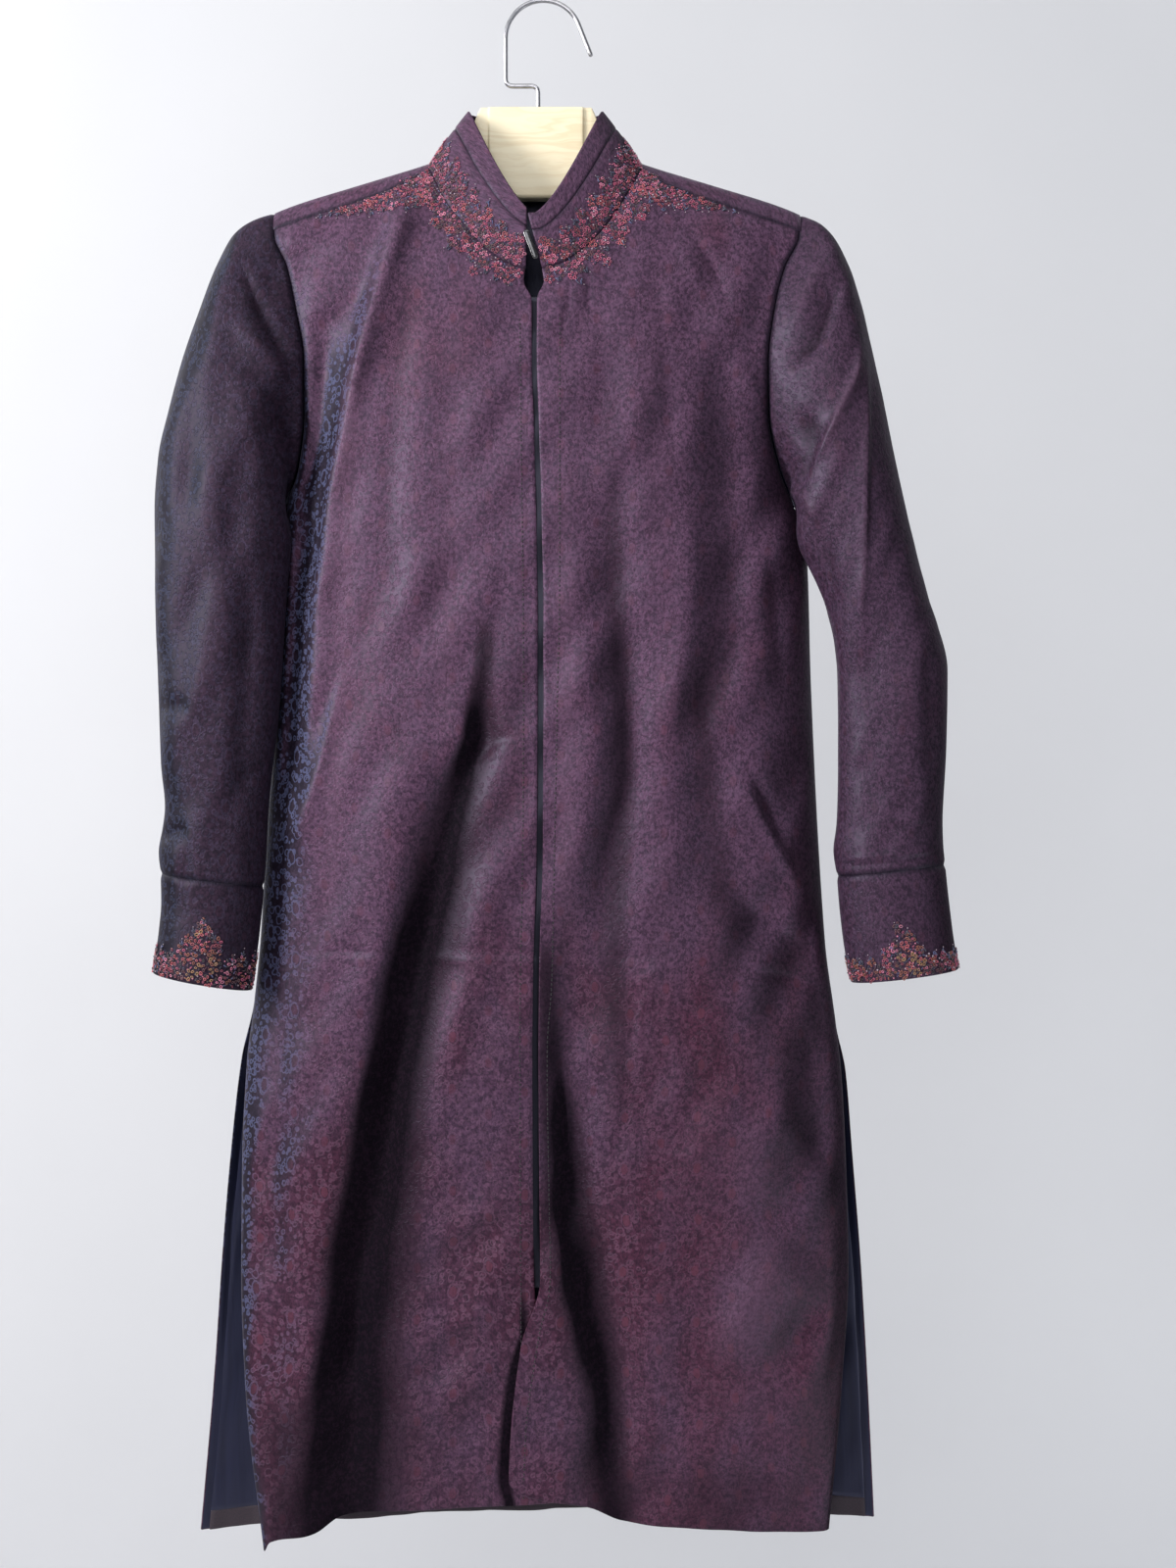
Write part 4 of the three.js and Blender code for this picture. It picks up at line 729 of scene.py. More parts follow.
def solid(name, vertices, faces, maps, slots, marks):
    """A smooth-shaded mesh from arrays, with its cloth map in metres."""
    mesh = bpy.data.meshes.new(name)
    mesh.from_pydata((np.asarray(vertices) * MM).tolist(), [], np.asarray(faces).tolist())
    mesh.polygons.foreach_set("use_smooth", np.ones(len(mesh.polygons), bool))
    layer = mesh.uv_layers.new(name="cloth")
    layer.data.foreach_set("uv", (maps.reshape(-1, 2) * MM).astype(np.float32).ravel())
    mesh.polygons.foreach_set("material_index", slots.astype(np.int32))
    for key, values in marks.items():
        layer = mesh.attributes.new(key, "FLOAT", "POINT")
        layer.data.foreach_set("value", values.astype(np.float32))
    mesh.set_sharp_from_angle(angle=math.radians(SHARP))
    mesh.update()
    return placed(name, mesh)


def placed(name, data):
    """An object at the origin that shows a mesh, a camera or a lamp."""
    made = bpy.data.objects.new(name, data)
    bpy.context.scene.collection.objects.link(made)
    return made


def tube(name, line, radius, sides):
    """A round rod along a line, with rounded ends."""
    line = np.asarray(line, float)
    tangent = np.gradient(line, axis=0)
    tangent /= np.linalg.norm(tangent, axis=1, keepdims=True)
    side = np.zeros_like(line)
    side[0] = np.cross(tangent[0], [0, 1, 0])
    for i in range(1, len(line)):
        side[i] = side[i - 1] - tangent[i] * (side[i - 1] @ tangent[i])
        side[i] /= np.linalg.norm(side[i])
    side[0] /= np.linalg.norm(side[0])
    other = np.cross(tangent, side)
    angle = np.linspace(0, 2 * math.pi, sides, endpoint=False)
    ring = side[:, None] * np.cos(angle)[:, None] + other[:, None] * np.sin(angle)[:, None]
    rings = line[:, None] + radius * ring

    def cap(end, turn):
        middle, out = line[end], turn * tangent[end] * radius
        return [middle + (rings[end] - middle) * k + out * math.sqrt(1 - k * k) for k in ROD_CAPS]

    rings = np.concatenate([cap(0, -1)[::-1], rings, cap(-1, 1)])
    return ringed(name, rings, flip=True)


def ringed(name, rings, sharp=SHARP, flip=False):
    """A solid from rings of points in a row, with a flat face at both ends."""
    count = rings.shape[1]
    faces, _ = quads(len(rings), count, True, flip)
    last = (len(rings) - 1) * count
    end = list(range(last, last + count))
    faces = faces.tolist() + [list(range(count)), end[::-1] if flip else end]
    mesh = bpy.data.meshes.new(name)
    mesh.from_pydata((rings.reshape(-1, 3) * MM).tolist(), [], faces)
    face_outwards(mesh)
    mesh.polygons.foreach_set("use_smooth", np.ones(len(mesh.polygons), bool))
    mesh.set_sharp_from_angle(angle=math.radians(sharp))
    return placed(name, mesh)


def face_outwards(mesh):
    work = bmesh.new()
    work.from_mesh(mesh)
    bmesh.ops.recalc_face_normals(work, faces=work.faces)
    work.to_mesh(mesh)
    work.free()
    mesh.update()


# Panels

# Places of the front's columns: shares of the width at the top, where 1 is the neck's corner,
# and shares of the width lower down
FRONT_COLUMN_SHARES = np.array([
    (0, 0), (0.22, 0.08), (0.43, 0.17), (0.62, 0.27), (0.78, 0.37), (0.91, 0.47), (1, 0.57),
    (1.25, 0.67), (1.5, 0.77), (1.75, 0.87), (1.93, 0.955), (2, 1),
])
# The drops between which the columns pass from one share to the other
COLUMN_SPREAD = (150, 480)
# Rows and columns of the meshes, how often and how fast a front's first row settles onto its
# edge, and how its rows crowd there
FRONT_FINENESS = {"columns": 8, "rows": 350, "settle": 40, "pace": 0.4, "lean": 1.15}
BACK_FINENESS = {"ridge_rows": 14, "ridge": 4, "tight": 0.05, "rows": 250}
SLEEVE_FINENESS = {"columns": 104, "rows": 190, "cuff_rows": 34}
COLLAR_FINENESS = {"columns": 220, "stand_rows": 22, "border_rows": 12}
# How far a panel's edge stays clear of the one it is sewn to
JOIN = 0.15


def refined(shares, count):
    knots = np.arange(len(shares))
    fine = np.linspace(0, len(shares) - 1, (len(shares) - 1) * count + 1)
    return [np.interp(fine, knots, shares[:, i]) for i in range(shares.shape[1])]


FRONT_SPREAD = Spread(front)
BACK_SPREAD = Spread(back)


def front_x(side, top, low, drop):
    edge = OPENING("right" if side < 0 else "left", drop)
    outer = OUTLINES[side]("front_x", drop)
    return mix(edge, outer, mix(top, low, smooth(*COLUMN_SPREAD, drop)))


def front_grid(side, hem):
    """Rows of points from the neck and the shoulder seam down to the hem of one front."""
    top, low = refined(FRONT_COLUMN_SHARES, FRONT_FINENESS["columns"])
    edge = OPENING.first("right" if side < 0 else "left")
    outer = OUTLINES[side].first("front_x")
    corner = NECK_CENTRE + side * NECK_HALF
    top_x = np.where(top < 1, mix(edge, corner, top), mix(corner, outer, top - 1))
    share = (top_x - edge) / (outer - edge)
    drop = np.full(share.shape, float(NECK_DROP))
    for _ in range(FRONT_FINENESS["settle"]):
        out = np.abs(front_x(side, share, low, drop) - NECK_CENTRE)
        wanted = np.where(out < NECK_HALF, neck_edge_drop(out), ridge_drop(out) + seam_fall(out) + JOIN)
        drop = mix(drop, wanted, FRONT_FINENESS["pace"])
    end = hem("drop", front_x(side, share, low, hem.rows[0, 1]))
    at = np.linspace(0, 1, FRONT_FINENESS["rows"] + 1)[:, None]
    at = mix(at, at ** FRONT_FINENESS["lean"], 0.5)
    drops = mix(drop, end, at)
    x = front_x(side, share, low, drops)
    grid = front(x, drops)
    armhole_x = OUTLINES[side]("front_x", drops)
    above_underarm = 1 - smooth(UNDERARM_DROP - 20, UNDERARM_DROP, drops)
    sewn_side = np.exp(-(((armhole_x - x) / SEAM_REACH) ** 2)) * above_underarm
    ditch = np.maximum(np.exp(-(((drops - drop) / SEAM_REACH) ** 2)), sewn_side)
    grid[..., 1] += SEAM_DITCH * ditch
    if side > 0:
        down = smooth(OVERLAP["start"], OVERLAP["full"], drops)
        near = 1 - smooth(OVERLAP["near"], OVERLAP["far"], x)
        grid[..., 1] -= OVERLAP["lift"] * down * near
    # The fold mark carries painted shade: a share of the folds' depth and the painted shade bands, and on
    # the right front the painted shadow under the flap
    fold = PAINTED_FOLD_SHADE["front"] * fold_depth("front", x, drops) + main_folds("shade", x, drops)
    if side < 0:
        fold += main_folds("under flap", x, drops)
    parts = {"grid": grid, "lengths": FRONT_SPREAD(x, drops), "fold": fold, "seam": ditch}
    return parts if side > 0 else {key: values[:, ::-1] for key, values in parts.items()}


BACK_COLUMN_SHARES = {
    "neck": (0, 0.5, 26),
    "ridge": (0.5, 0.7, 5),
    "seam": (0.7, 1, 26),
}
NECK_RIDGE = {"spread": 1.2, "behind": 1.5, "dip": 2}


def back_starts(side):
    """Top of each column of one half of the back: how far out, how far below the ridge, and its
    share of the width lower down."""
    tip = abs(OUTLINES[side].first("back_x") - NECK_CENTRE)
    outs, falls, lows = [], [], []
    for span, (low_start, low_end, count) in BACK_COLUMN_SHARES.items():
        share = np.linspace(0, 1, count, endpoint=span == "seam")
        out, fall = back_edge(span, share, tip)
        outs.append(out)
        falls.append(fall)
        lows.append(mix(low_start, low_end, share))
    return np.concatenate(outs), np.concatenate(falls), np.concatenate(lows), tip


def back_edge(span, share, tip):
    if span == "neck":
        angle = share * math.pi / 2
        return NECK_HALF * np.sin(angle), NECK_RIDGE["behind"] + NECK_RIDGE["dip"] * np.cos(angle)
    if span == "ridge":
        out = NECK_HALF + NECK_RIDGE["spread"] * share
        return out, mix(NECK_RIDGE["behind"], -seam_fall(out), share)
    out = mix(NECK_HALF + NECK_RIDGE["spread"], tip, share)
    return out, -seam_fall(out)


def back_grid():
    """Rows of points from the neck and the shoulder seams down to the hem of the back."""
    halves = []
    for side in (-1, 1):
        out, start, low, tip = back_starts(side)
        top = np.linspace(0, 1, BACK_FINENESS["ridge_rows"], endpoint=False)[:, None]
        in_front = np.minimum(start, 0) * (1 - top) ** 2
        behind = np.maximum(start, 0) * np.ones_like(top)
        ridge = BACK_FINENESS["ridge"]
        first = np.where(start < 0, in_front, behind + top * ridge)
        hem_x = mix(MIDDLE.last("x"), OUTLINES[side].last("back_x"), low)
        hem = BACK_HEM("drop", hem_x) - ridge_drop(out)
        base = np.where(start < 0, BACK_FINENESS["tight"], start + ridge)
        at = np.linspace(0, 1, BACK_FINENESS["rows"] + 1)[:, None]
        rest = mix(base, hem, mix(at**2.2, at, np.minimum(1, 0.25 + at * 1.2)))
        falls = np.concatenate([first, rest])
        drops = ridge_drop(out) + np.abs(falls)
        middle = MIDDLE("x", drops)
        outer = OUTLINES[side]("back_x", drops)
        x = mix(middle, outer, mix(out / tip, low, smooth(*COLUMN_SPREAD, drops)))
        over = falls < 0
        half = np.where(over[..., None], front(x, drops), back(x, drops))
        lengths = BACK_SPREAD(x, np.where(over, ridge_drop(out) * np.ones_like(drops), drops))
        lengths[..., 1] += np.minimum(falls, 0)
        seam = np.exp(-(((falls - falls[:1]) / SEAM_REACH) ** 2))
        # A share of the back's folds is painted as shade
        halves.append((half, lengths, PAINTED_FOLD_SHADE["back"] * fold_depth("back", x, drops) * ~over, seam))
    joined = [np.concatenate([right[:, ::-1], left[:, 1:]], 1)[:, ::-1] for right, left in zip(*halves)]
    return dict(zip(("grid", "lengths", "fold", "seam"), joined))


def armhole(side, angle):
    """Edge of the armhole, from the ridge down the front or the back to the underarm."""
    in_front = np.sin(angle) > 0
    tip = ridge_drop(abs(OUTLINES[side].first("front_x") - NECK_CENTRE))
    drop = mix(UNDERARM_DROP, tip, (1 + np.cos(angle)) / 2)
    rows = OUTLINES[side]
    front_points = front(rows("front_x", drop), drop)
    back_points = back(rows("back_x", drop), drop)
    edge = np.where(in_front[..., None], front_points, back_points)
    edge[..., 0] += side * JOIN
    return edge


def ellipse(rows, angle, station):
    share = (1 + np.cos(angle)) / 2
    x = mix(rows("in_x", station), rows("out_x", station), share)
    drop = mix(rows("in_drop", station), rows("out_drop", station), share)
    return points(x, rows("mid_y", station) - rows("half", station) * np.sin(angle), drop)


def sleeve_surface(rows, side, angle, station):
    fade = (1 - smooth(0, ARMHOLE_FADE, station))[..., None]
    start = armhole(side, angle) - ellipse(rows, angle, np.zeros_like(station))
    return ellipse(rows, angle, station) + start * fade


SLEEVE_AXIS = {-1: ((170, -228), (783, -268)), 1: ((170, 222), (777, 284))}
SLEEVE_WRAP = {"curve": 0.75, "blend": 25, "behind": 144}
# Where a sleeve's creases start, in stations, how they fade round its edges and what the cuff loses
SLEEVE_CREASES = {"turn": 0.45, "start": 0.8, "cuff_start": 0.4, "cuff_loss": 0.75}


def sleeve_lengths(rows, side, grid, turn, station):
    """Lengths across the sleeve from its axis and round its outer edge, and down it."""
    drop = -grid[..., 2]
    (top, top_x), (low, low_x) = SLEEVE_AXIS[side]
    out = side * (grid[..., 0] - mix(top_x, low_x, (drop - top) / (low - top)))
    middle, half = rows("mid_y", station), rows("half", station)
    curved = SLEEVE_WRAP["curve"] * np.clip(out / SLEEVE_WRAP["blend"], -1, 1)
    before = out + curved * np.maximum(grid[..., 1] - middle + half, 0)
    behind = SLEEVE_WRAP["behind"] - out - curved * np.maximum(middle + half - grid[..., 1], 0)
    return np.stack([np.where(np.sin(turn) >= -1e-6, before, behind), drop], -1)


def sleeve_grid(rows, side, start, end, count):
    """A tube from one station to another, creased on both faces, and its seam under the arm."""
    at = np.linspace(start, end, count + 1)[:, None]
    angle = np.linspace(-math.pi, math.pi, SLEEVE_FINENESS["columns"] + 1)[None]
    station, turn = np.broadcast_arrays(at, angle)
    if side > 0:
        turn = turn[:, ::-1]
    full = sleeve_surface(rows, side, turn, station)
    lengths = sleeve_lengths(rows, side, full, turn, station)
    grid, turn, station = full[:, :-1], turn[:, :-1], station[:, :-1]
    normal = grid_normals(grid, around=True)
    name = "right" if side < 0 else "left"
    x, drop = grid[..., 0], -grid[..., 2]
    facing, behind = (smooth(0.0, SLEEVE_CREASES["turn"], share) for share in (np.sin(turn), -np.sin(turn)))
    depth = facing * creases(name + " sleeve front", x, drop)
    depth += behind * creases(name + " sleeve back", x, drop)
    cuff = smooth(CUFF_STATION, CUFF_STATION + SLEEVE_CREASES["cuff_start"], station)
    depth *= smooth(0, SLEEVE_CREASES["start"], station) * (1 - SLEEVE_CREASES["cuff_loss"] * cuff)
    # A share of the creases is painted as shade
    fold = PAINTED_FOLD_SHADE["sleeve"] * depth
    return {"grid": grid - normal * depth[..., None], "lengths": lengths, "fold": fold}


def sewn_rims(parts, at_start, at_end, around=True, depth=1.2, reach=2.4):
    """Turns a grid's first or last row in where it is sewn."""
    grid = parts["grid"]
    normal = grid_normals(grid, around)
    lengths = cloth_map(grid, around)[:, : grid.shape[1], 1]
    seam = np.zeros(lengths.shape)
    if at_start:
        seam += np.exp(-((lengths / reach) ** 2))
    if at_end:
        seam += np.exp(-(((lengths[-1] - lengths) / reach) ** 2))
    # The seam values also place painted seam shade on the cloth
    return {**parts, "grid": grid - normal * (depth * seam)[..., None], "seam": seam}


# Collar: -1 at the right front end, 0 in the middle of the back, 1 at the left front end
COLLAR = {
    "back_span": 0.42,
    "ridge_span": 0.08,
    "top_back_span": 0.46,
    "end_out": {-1: 7.5, 1: 6.5},
    "top_end_out": {-1: 6.4, 1: -4.2},
    "top_drop": 88,
    "top_fall": 92,
    "top_power": 1.42,
    "top_front_y": -50,
    "top_back_y": 21,
    "top_front_power": 0.85,
    "roll": 1.6,
    "depth_pull": 1.4,
}


def collar_foot(side, at):
    """The collar's lower edge, along the neck of the back, over the ridge and down the front."""
    tip = abs(OUTLINES[side].first("back_x") - NECK_CENTRE)
    back_span, ridge_span = COLLAR["back_span"], COLLAR["ridge_span"]
    ridge_end = back_span + ridge_span
    neck_out, neck_fall = back_edge("neck", np.clip(at / back_span, 0, 1), tip)
    ridge_out, ridge_fall = back_edge("ridge", np.clip((at - back_span) / ridge_span, 0, 1), tip)
    out = np.where(at < back_span, neck_out, ridge_out)
    fall = np.where(at < back_span, neck_fall, ridge_fall)
    x = NECK_CENTRE + side * out
    drop = ridge_drop(out) + np.abs(fall)
    rear = np.where((fall < 0)[..., None], front(x, drop, False), back(x, drop, False))
    share = np.clip((at - ridge_end) / (1 - ridge_end), 0, 1)
    angle = mix(math.pi / 2, math.asin(COLLAR["end_out"][side] / NECK_HALF), share)
    out = NECK_HALF * np.sin(angle)
    fore = front(NECK_CENTRE + side * out, neck_edge_drop(out), False)
    return np.where((at < ridge_end)[..., None], rear, fore)


def collar_top(side, at):
    """The collar's upper edge."""
    span = COLLAR["top_back_span"]
    angle = np.clip(at / span, 0, 1) * math.pi / 2
    rear = points(NECK_CENTRE + side * COLLAR_TOP_HALF * np.sin(angle),
                  COLLAR["top_back_y"] * np.cos(angle), COLLAR["top_drop"] * np.ones_like(angle))
    end = math.asin(COLLAR["top_end_out"][side] / COLLAR_TOP_HALF)
    angle = mix(math.pi / 2, end, np.clip((at - span) / (1 - span), 0, 1))
    out = np.sin(angle)
    fall = COLLAR["top_fall"] * (1 - np.maximum(out, 0) ** COLLAR["top_power"])
    y = COLLAR["top_front_y"] * np.maximum(np.cos(angle), 0) ** COLLAR["top_front_power"]
    fore = points(NECK_CENTRE + side * COLLAR_TOP_HALF * out, y, COLLAR["top_drop"] + fall)
    return np.where((at < span)[..., None], rear, fore)


def collar(turn, up):
    """Points of the collar's outer face, by the place along it and the share of its height."""
    turn, up = np.broadcast_arrays(np.asarray(turn, float), np.asarray(up, float))
    at = np.abs(turn)
    foot = np.where((turn < 0)[..., None], collar_foot(-1, at), collar_foot(1, at))
    top = np.where((turn < 0)[..., None], collar_top(-1, at), collar_top(1, at))
    grid = mix(foot, top, up[..., None])
    deep = grid[..., 1] * COLLAR["depth_pull"]
    away = np.stack([grid[..., 0] - NECK_CENTRE, deep, np.zeros(turn.shape)], -1)
    away /= np.maximum(np.linalg.norm(away, axis=-1, keepdims=True), 1e-6)
    roll = COLLAR["roll"] * 4 * up * (1 - up)
    return grid + away * roll[..., None]


def collar_grid(low, high, rows):
    turn = np.linspace(-1, 1, COLLAR_FINENESS["columns"] + 1)[None]
    up = np.linspace(high, low, rows + 1)[:, None]
    return collar(turn, up)


# Materials


class Signal:
    """A socket of a material's tree, with arithmetic that adds Math nodes."""

    def __init__(self, graph, socket):
        self.graph, self.socket = graph, socket

    def math(self, operation, *values):
        node = self.graph.node("ShaderNodeMath", dict(enumerate(values)), operation=operation)
        return Signal(self.graph, node.outputs[0])

    def __add__(self, other):
        return self.math("ADD", self, other)

    __radd__ = __add__

    def __sub__(self, other):
        return self.math("SUBTRACT", self, other)

    def __rsub__(self, other):
        return self.math("SUBTRACT", other, self)

    def __mul__(self, other):
        return self.math("MULTIPLY", self, other)

    __rmul__ = __mul__

    def __truediv__(self, other):
        return self.math("DIVIDE", self, other)

    def __abs__(self):
        return self.math("ABSOLUTE", self)

    def least(self, other):
        return self.math("MINIMUM", self, other)

    def most(self, other):
        return self.math("MAXIMUM", self, other)

    def fraction(self):
        return self.math("FRACT", self)

    def floor(self):
        return self.math("FLOOR", self)

    def step(self, start, end):
        """0 before start, 1 past end, smooth between."""
        values = {"Value": self, "From Min": start, "From Max": end}
        node = self.graph.node("ShaderNodeMapRange", values, interpolation_type="SMOOTHSTEP")
        return Signal(self.graph, node.outputs[0])


class Nodes:
    """A node tree that is built by calls."""

    def node(self, kind, values=None, **settings):
        node = self.tree.nodes.new(kind)
        for name, value in settings.items():
            setattr(node, name, value)
        for key, value in (values or {}).items():
            if isinstance(value, Signal):
                self.tree.links.new(value.socket, node.inputs[key])
            else:
                node.inputs[key].default_value = value
        return node

    def get(self, kind, output=0, values=None, **settings):
        return Signal(self, self.node(kind, values, **settings).outputs[output])

    def combine(self, x, y, z=0.0):
        return self.get("ShaderNodeCombineXYZ", values={"X": x, "Y": y, "Z": z})

    def split(self, vector):
        node = self.node("ShaderNodeSeparateXYZ", {"Vector": vector})
        return [Signal(self, socket) for socket in node.outputs]


class Graph(Nodes):
    """The node tree of one material."""

    def __init__(self, name):
        self.material = bpy.data.materials.new(name)
        self.material.use_nodes = True
        self.tree = self.material.node_tree
        self.tree.nodes.clear()

    def noise(self, vector, scale, detail, roughness=0.5):
        values = {"Vector": vector, "Scale": scale, "Detail": detail, "Roughness": roughness}
        return self.get("ShaderNodeTexNoise", "Fac", values)

    def stretched(self, parts, scales, detail, roughness=0.5, layer=0.0):
        """Noise over a place whose parts are scaled one by one."""
        scaled = [part * scale for part, scale in zip(parts, scales)]
        vector = self.combine(*scaled, *[layer] * (3 - len(scaled)))
        return self.noise(vector, 1.0, detail, roughness)

    def blend(self, a, b, share):
        """Mixes two colours."""
        node = self.node("ShaderNodeMix", data_type="RGBA")
        for index, value in ((0, share), (6, a), (7, b)):
            if isinstance(value, Signal):
                self.tree.links.new(value.socket, node.inputs[index])
            else:
                node.inputs[index].default_value = value if index == 0 else (*value, 1)
        return Signal(self, node.outputs[2])

    def distance(self, vector, place):
        values = {0: vector, 1: place}
        return self.get("ShaderNodeVectorMath", "Value", values, operation="DISTANCE")

    def bump(self, height, distance, strength):
        values = {"Height": height, "Distance": distance, "Strength": strength}
        return self.get("ShaderNodeBump", "Normal", values)

    def attribute(self, name, output="Fac"):
        return self.get("ShaderNodeAttribute", output, attribute_name=name)

    def cloth_map(self):
        """Lengths across and down the cloth, in metres."""
        return self.get("ShaderNodeUVMap", "UV", uv_map="cloth")

    def place(self):
        return self.get("ShaderNodeTexCoord", "Object")

    def surface(self, values):
        return self.get("ShaderNodeBsdfPrincipled", values=values)

    def finish(self, surface):
        self.node("ShaderNodeOutputMaterial", {"Surface": surface})
        return self.material


def colour(red, green, blue):
    """A screen colour, from 0 to 255, as the linear values that a shader takes."""
    return tuple((c / 12.92 if c <= 0.04045 else ((c + 0.055) / 1.055) ** 2.4)
                 for c in (red / 255, green / 255, blue / 255))


# The woven figure in millimetres: small scrolls all over, and an oval medallion in each repeat,
# dropped by half its height in each second column
REPEAT = {"width": 28.0, "height": 40.0}
SCROLL = {"cell": 5.0, "ring": 1.7, "line": 0.28, "eye": 0.3}
STEM = {"cell": 9.0, "ring": 3.1, "line": 0.22}
MEDALLION = {"across": 3.0, "down": 4.4, "rim": 1.32}
WANDER = {"scale": 260, "reach": 2.2}
LOOSE = 0.75


def damask(graph, cloth):
    """Masks of the scroll lines and of the medallions over the cloth."""
    wander = (graph.noise(cloth, WANDER["scale"], 1.0) - 0.5) * WANDER["reach"]
    across, down, _ = graph.split(cloth)
    across, down = across * 1000 + wander, down * 1000 - wander
    field = graph.combine(across, down)
    column = across / REPEAT["width"]
    row = down / REPEAT["height"] + (column.floor() * 0.5).fraction()
    x = abs(column.fraction() - 0.5) * REPEAT["width"]
    y = (row.fraction() - 0.5) * REPEAT["height"]

    def rings(form):
        values = {"Vector": field, "Scale": 1 / form["cell"], "Randomness": LOOSE}
        away = graph.get("ShaderNodeTexVoronoi", "Distance", values) * form["cell"]
        ring = 1 - abs(away - form["ring"]).step(form["line"], form["line"] + 0.45)
        return away, ring

    away, scroll = rings(SCROLL)
    eye = 1 - away.step(SCROLL["eye"], SCROLL["eye"] + 0.5)
    _, stem = rings(STEM)
    reach = graph.distance(graph.combine(x / MEDALLION["across"], y / MEDALLION["down"]), (0, 0, 0))
    medallion = 1 - reach.step(0.82, 1.02)
    rim = 1 - abs(reach - MEDALLION["rim"]).step(0.1, 0.26)
    lines = scroll.most(eye).most(stem).most(rim)
    return lines * (1 - medallion), medallion


MAUVE, ROSE, PLUM, BURGUNDY, OVAL = (colour(*c) for c in (
    (97, 67, 92), (92, 47, 68), (46, 29, 44), (42, 16, 30), (104, 54, 70)))
# The colour of painted shade; a dark navy for the figure under the painted sheen and for painted seam shade;
# the steel blue of the painted sheen; and a light mauve for the figure's lines and for painted highlights on
# ridges
PAINTED_SHADE_NAVY, INK, STEEL, GLEAM = (colour(*c) for c in ((9, 6, 13), (12, 11, 21), (70, 77, 106), (120, 90, 111)))

# Where the cloth's colour changes: the drops between which it grows redder and darker, the places
# across beside the right sleeve that get a painted blue sheen, the turns that get painted sheen or
# painted shade, and the fold depths past which painted shade darkens it or a painted highlight lightens it
SHOT = {"low": (-1.0, -0.5), "clear": (0.02, 0.12), "sleeve": (-0.165, -0.1), "sheen": (0.24, 0.7),
        "dark_turn": (0.2, 0.75), "deep": (0.5, 15.0), "gleam": (0.5, 7.0), "most_dark": 0.97}

# Threads and drifts of colour: how many a metre across and down
GRAIN, SPECK, DRIFT = (620, 420), (300, 260), (26, 9)
GRAIN_CONTRAST, SPECK_CONTRAST = 3.4, 2.4


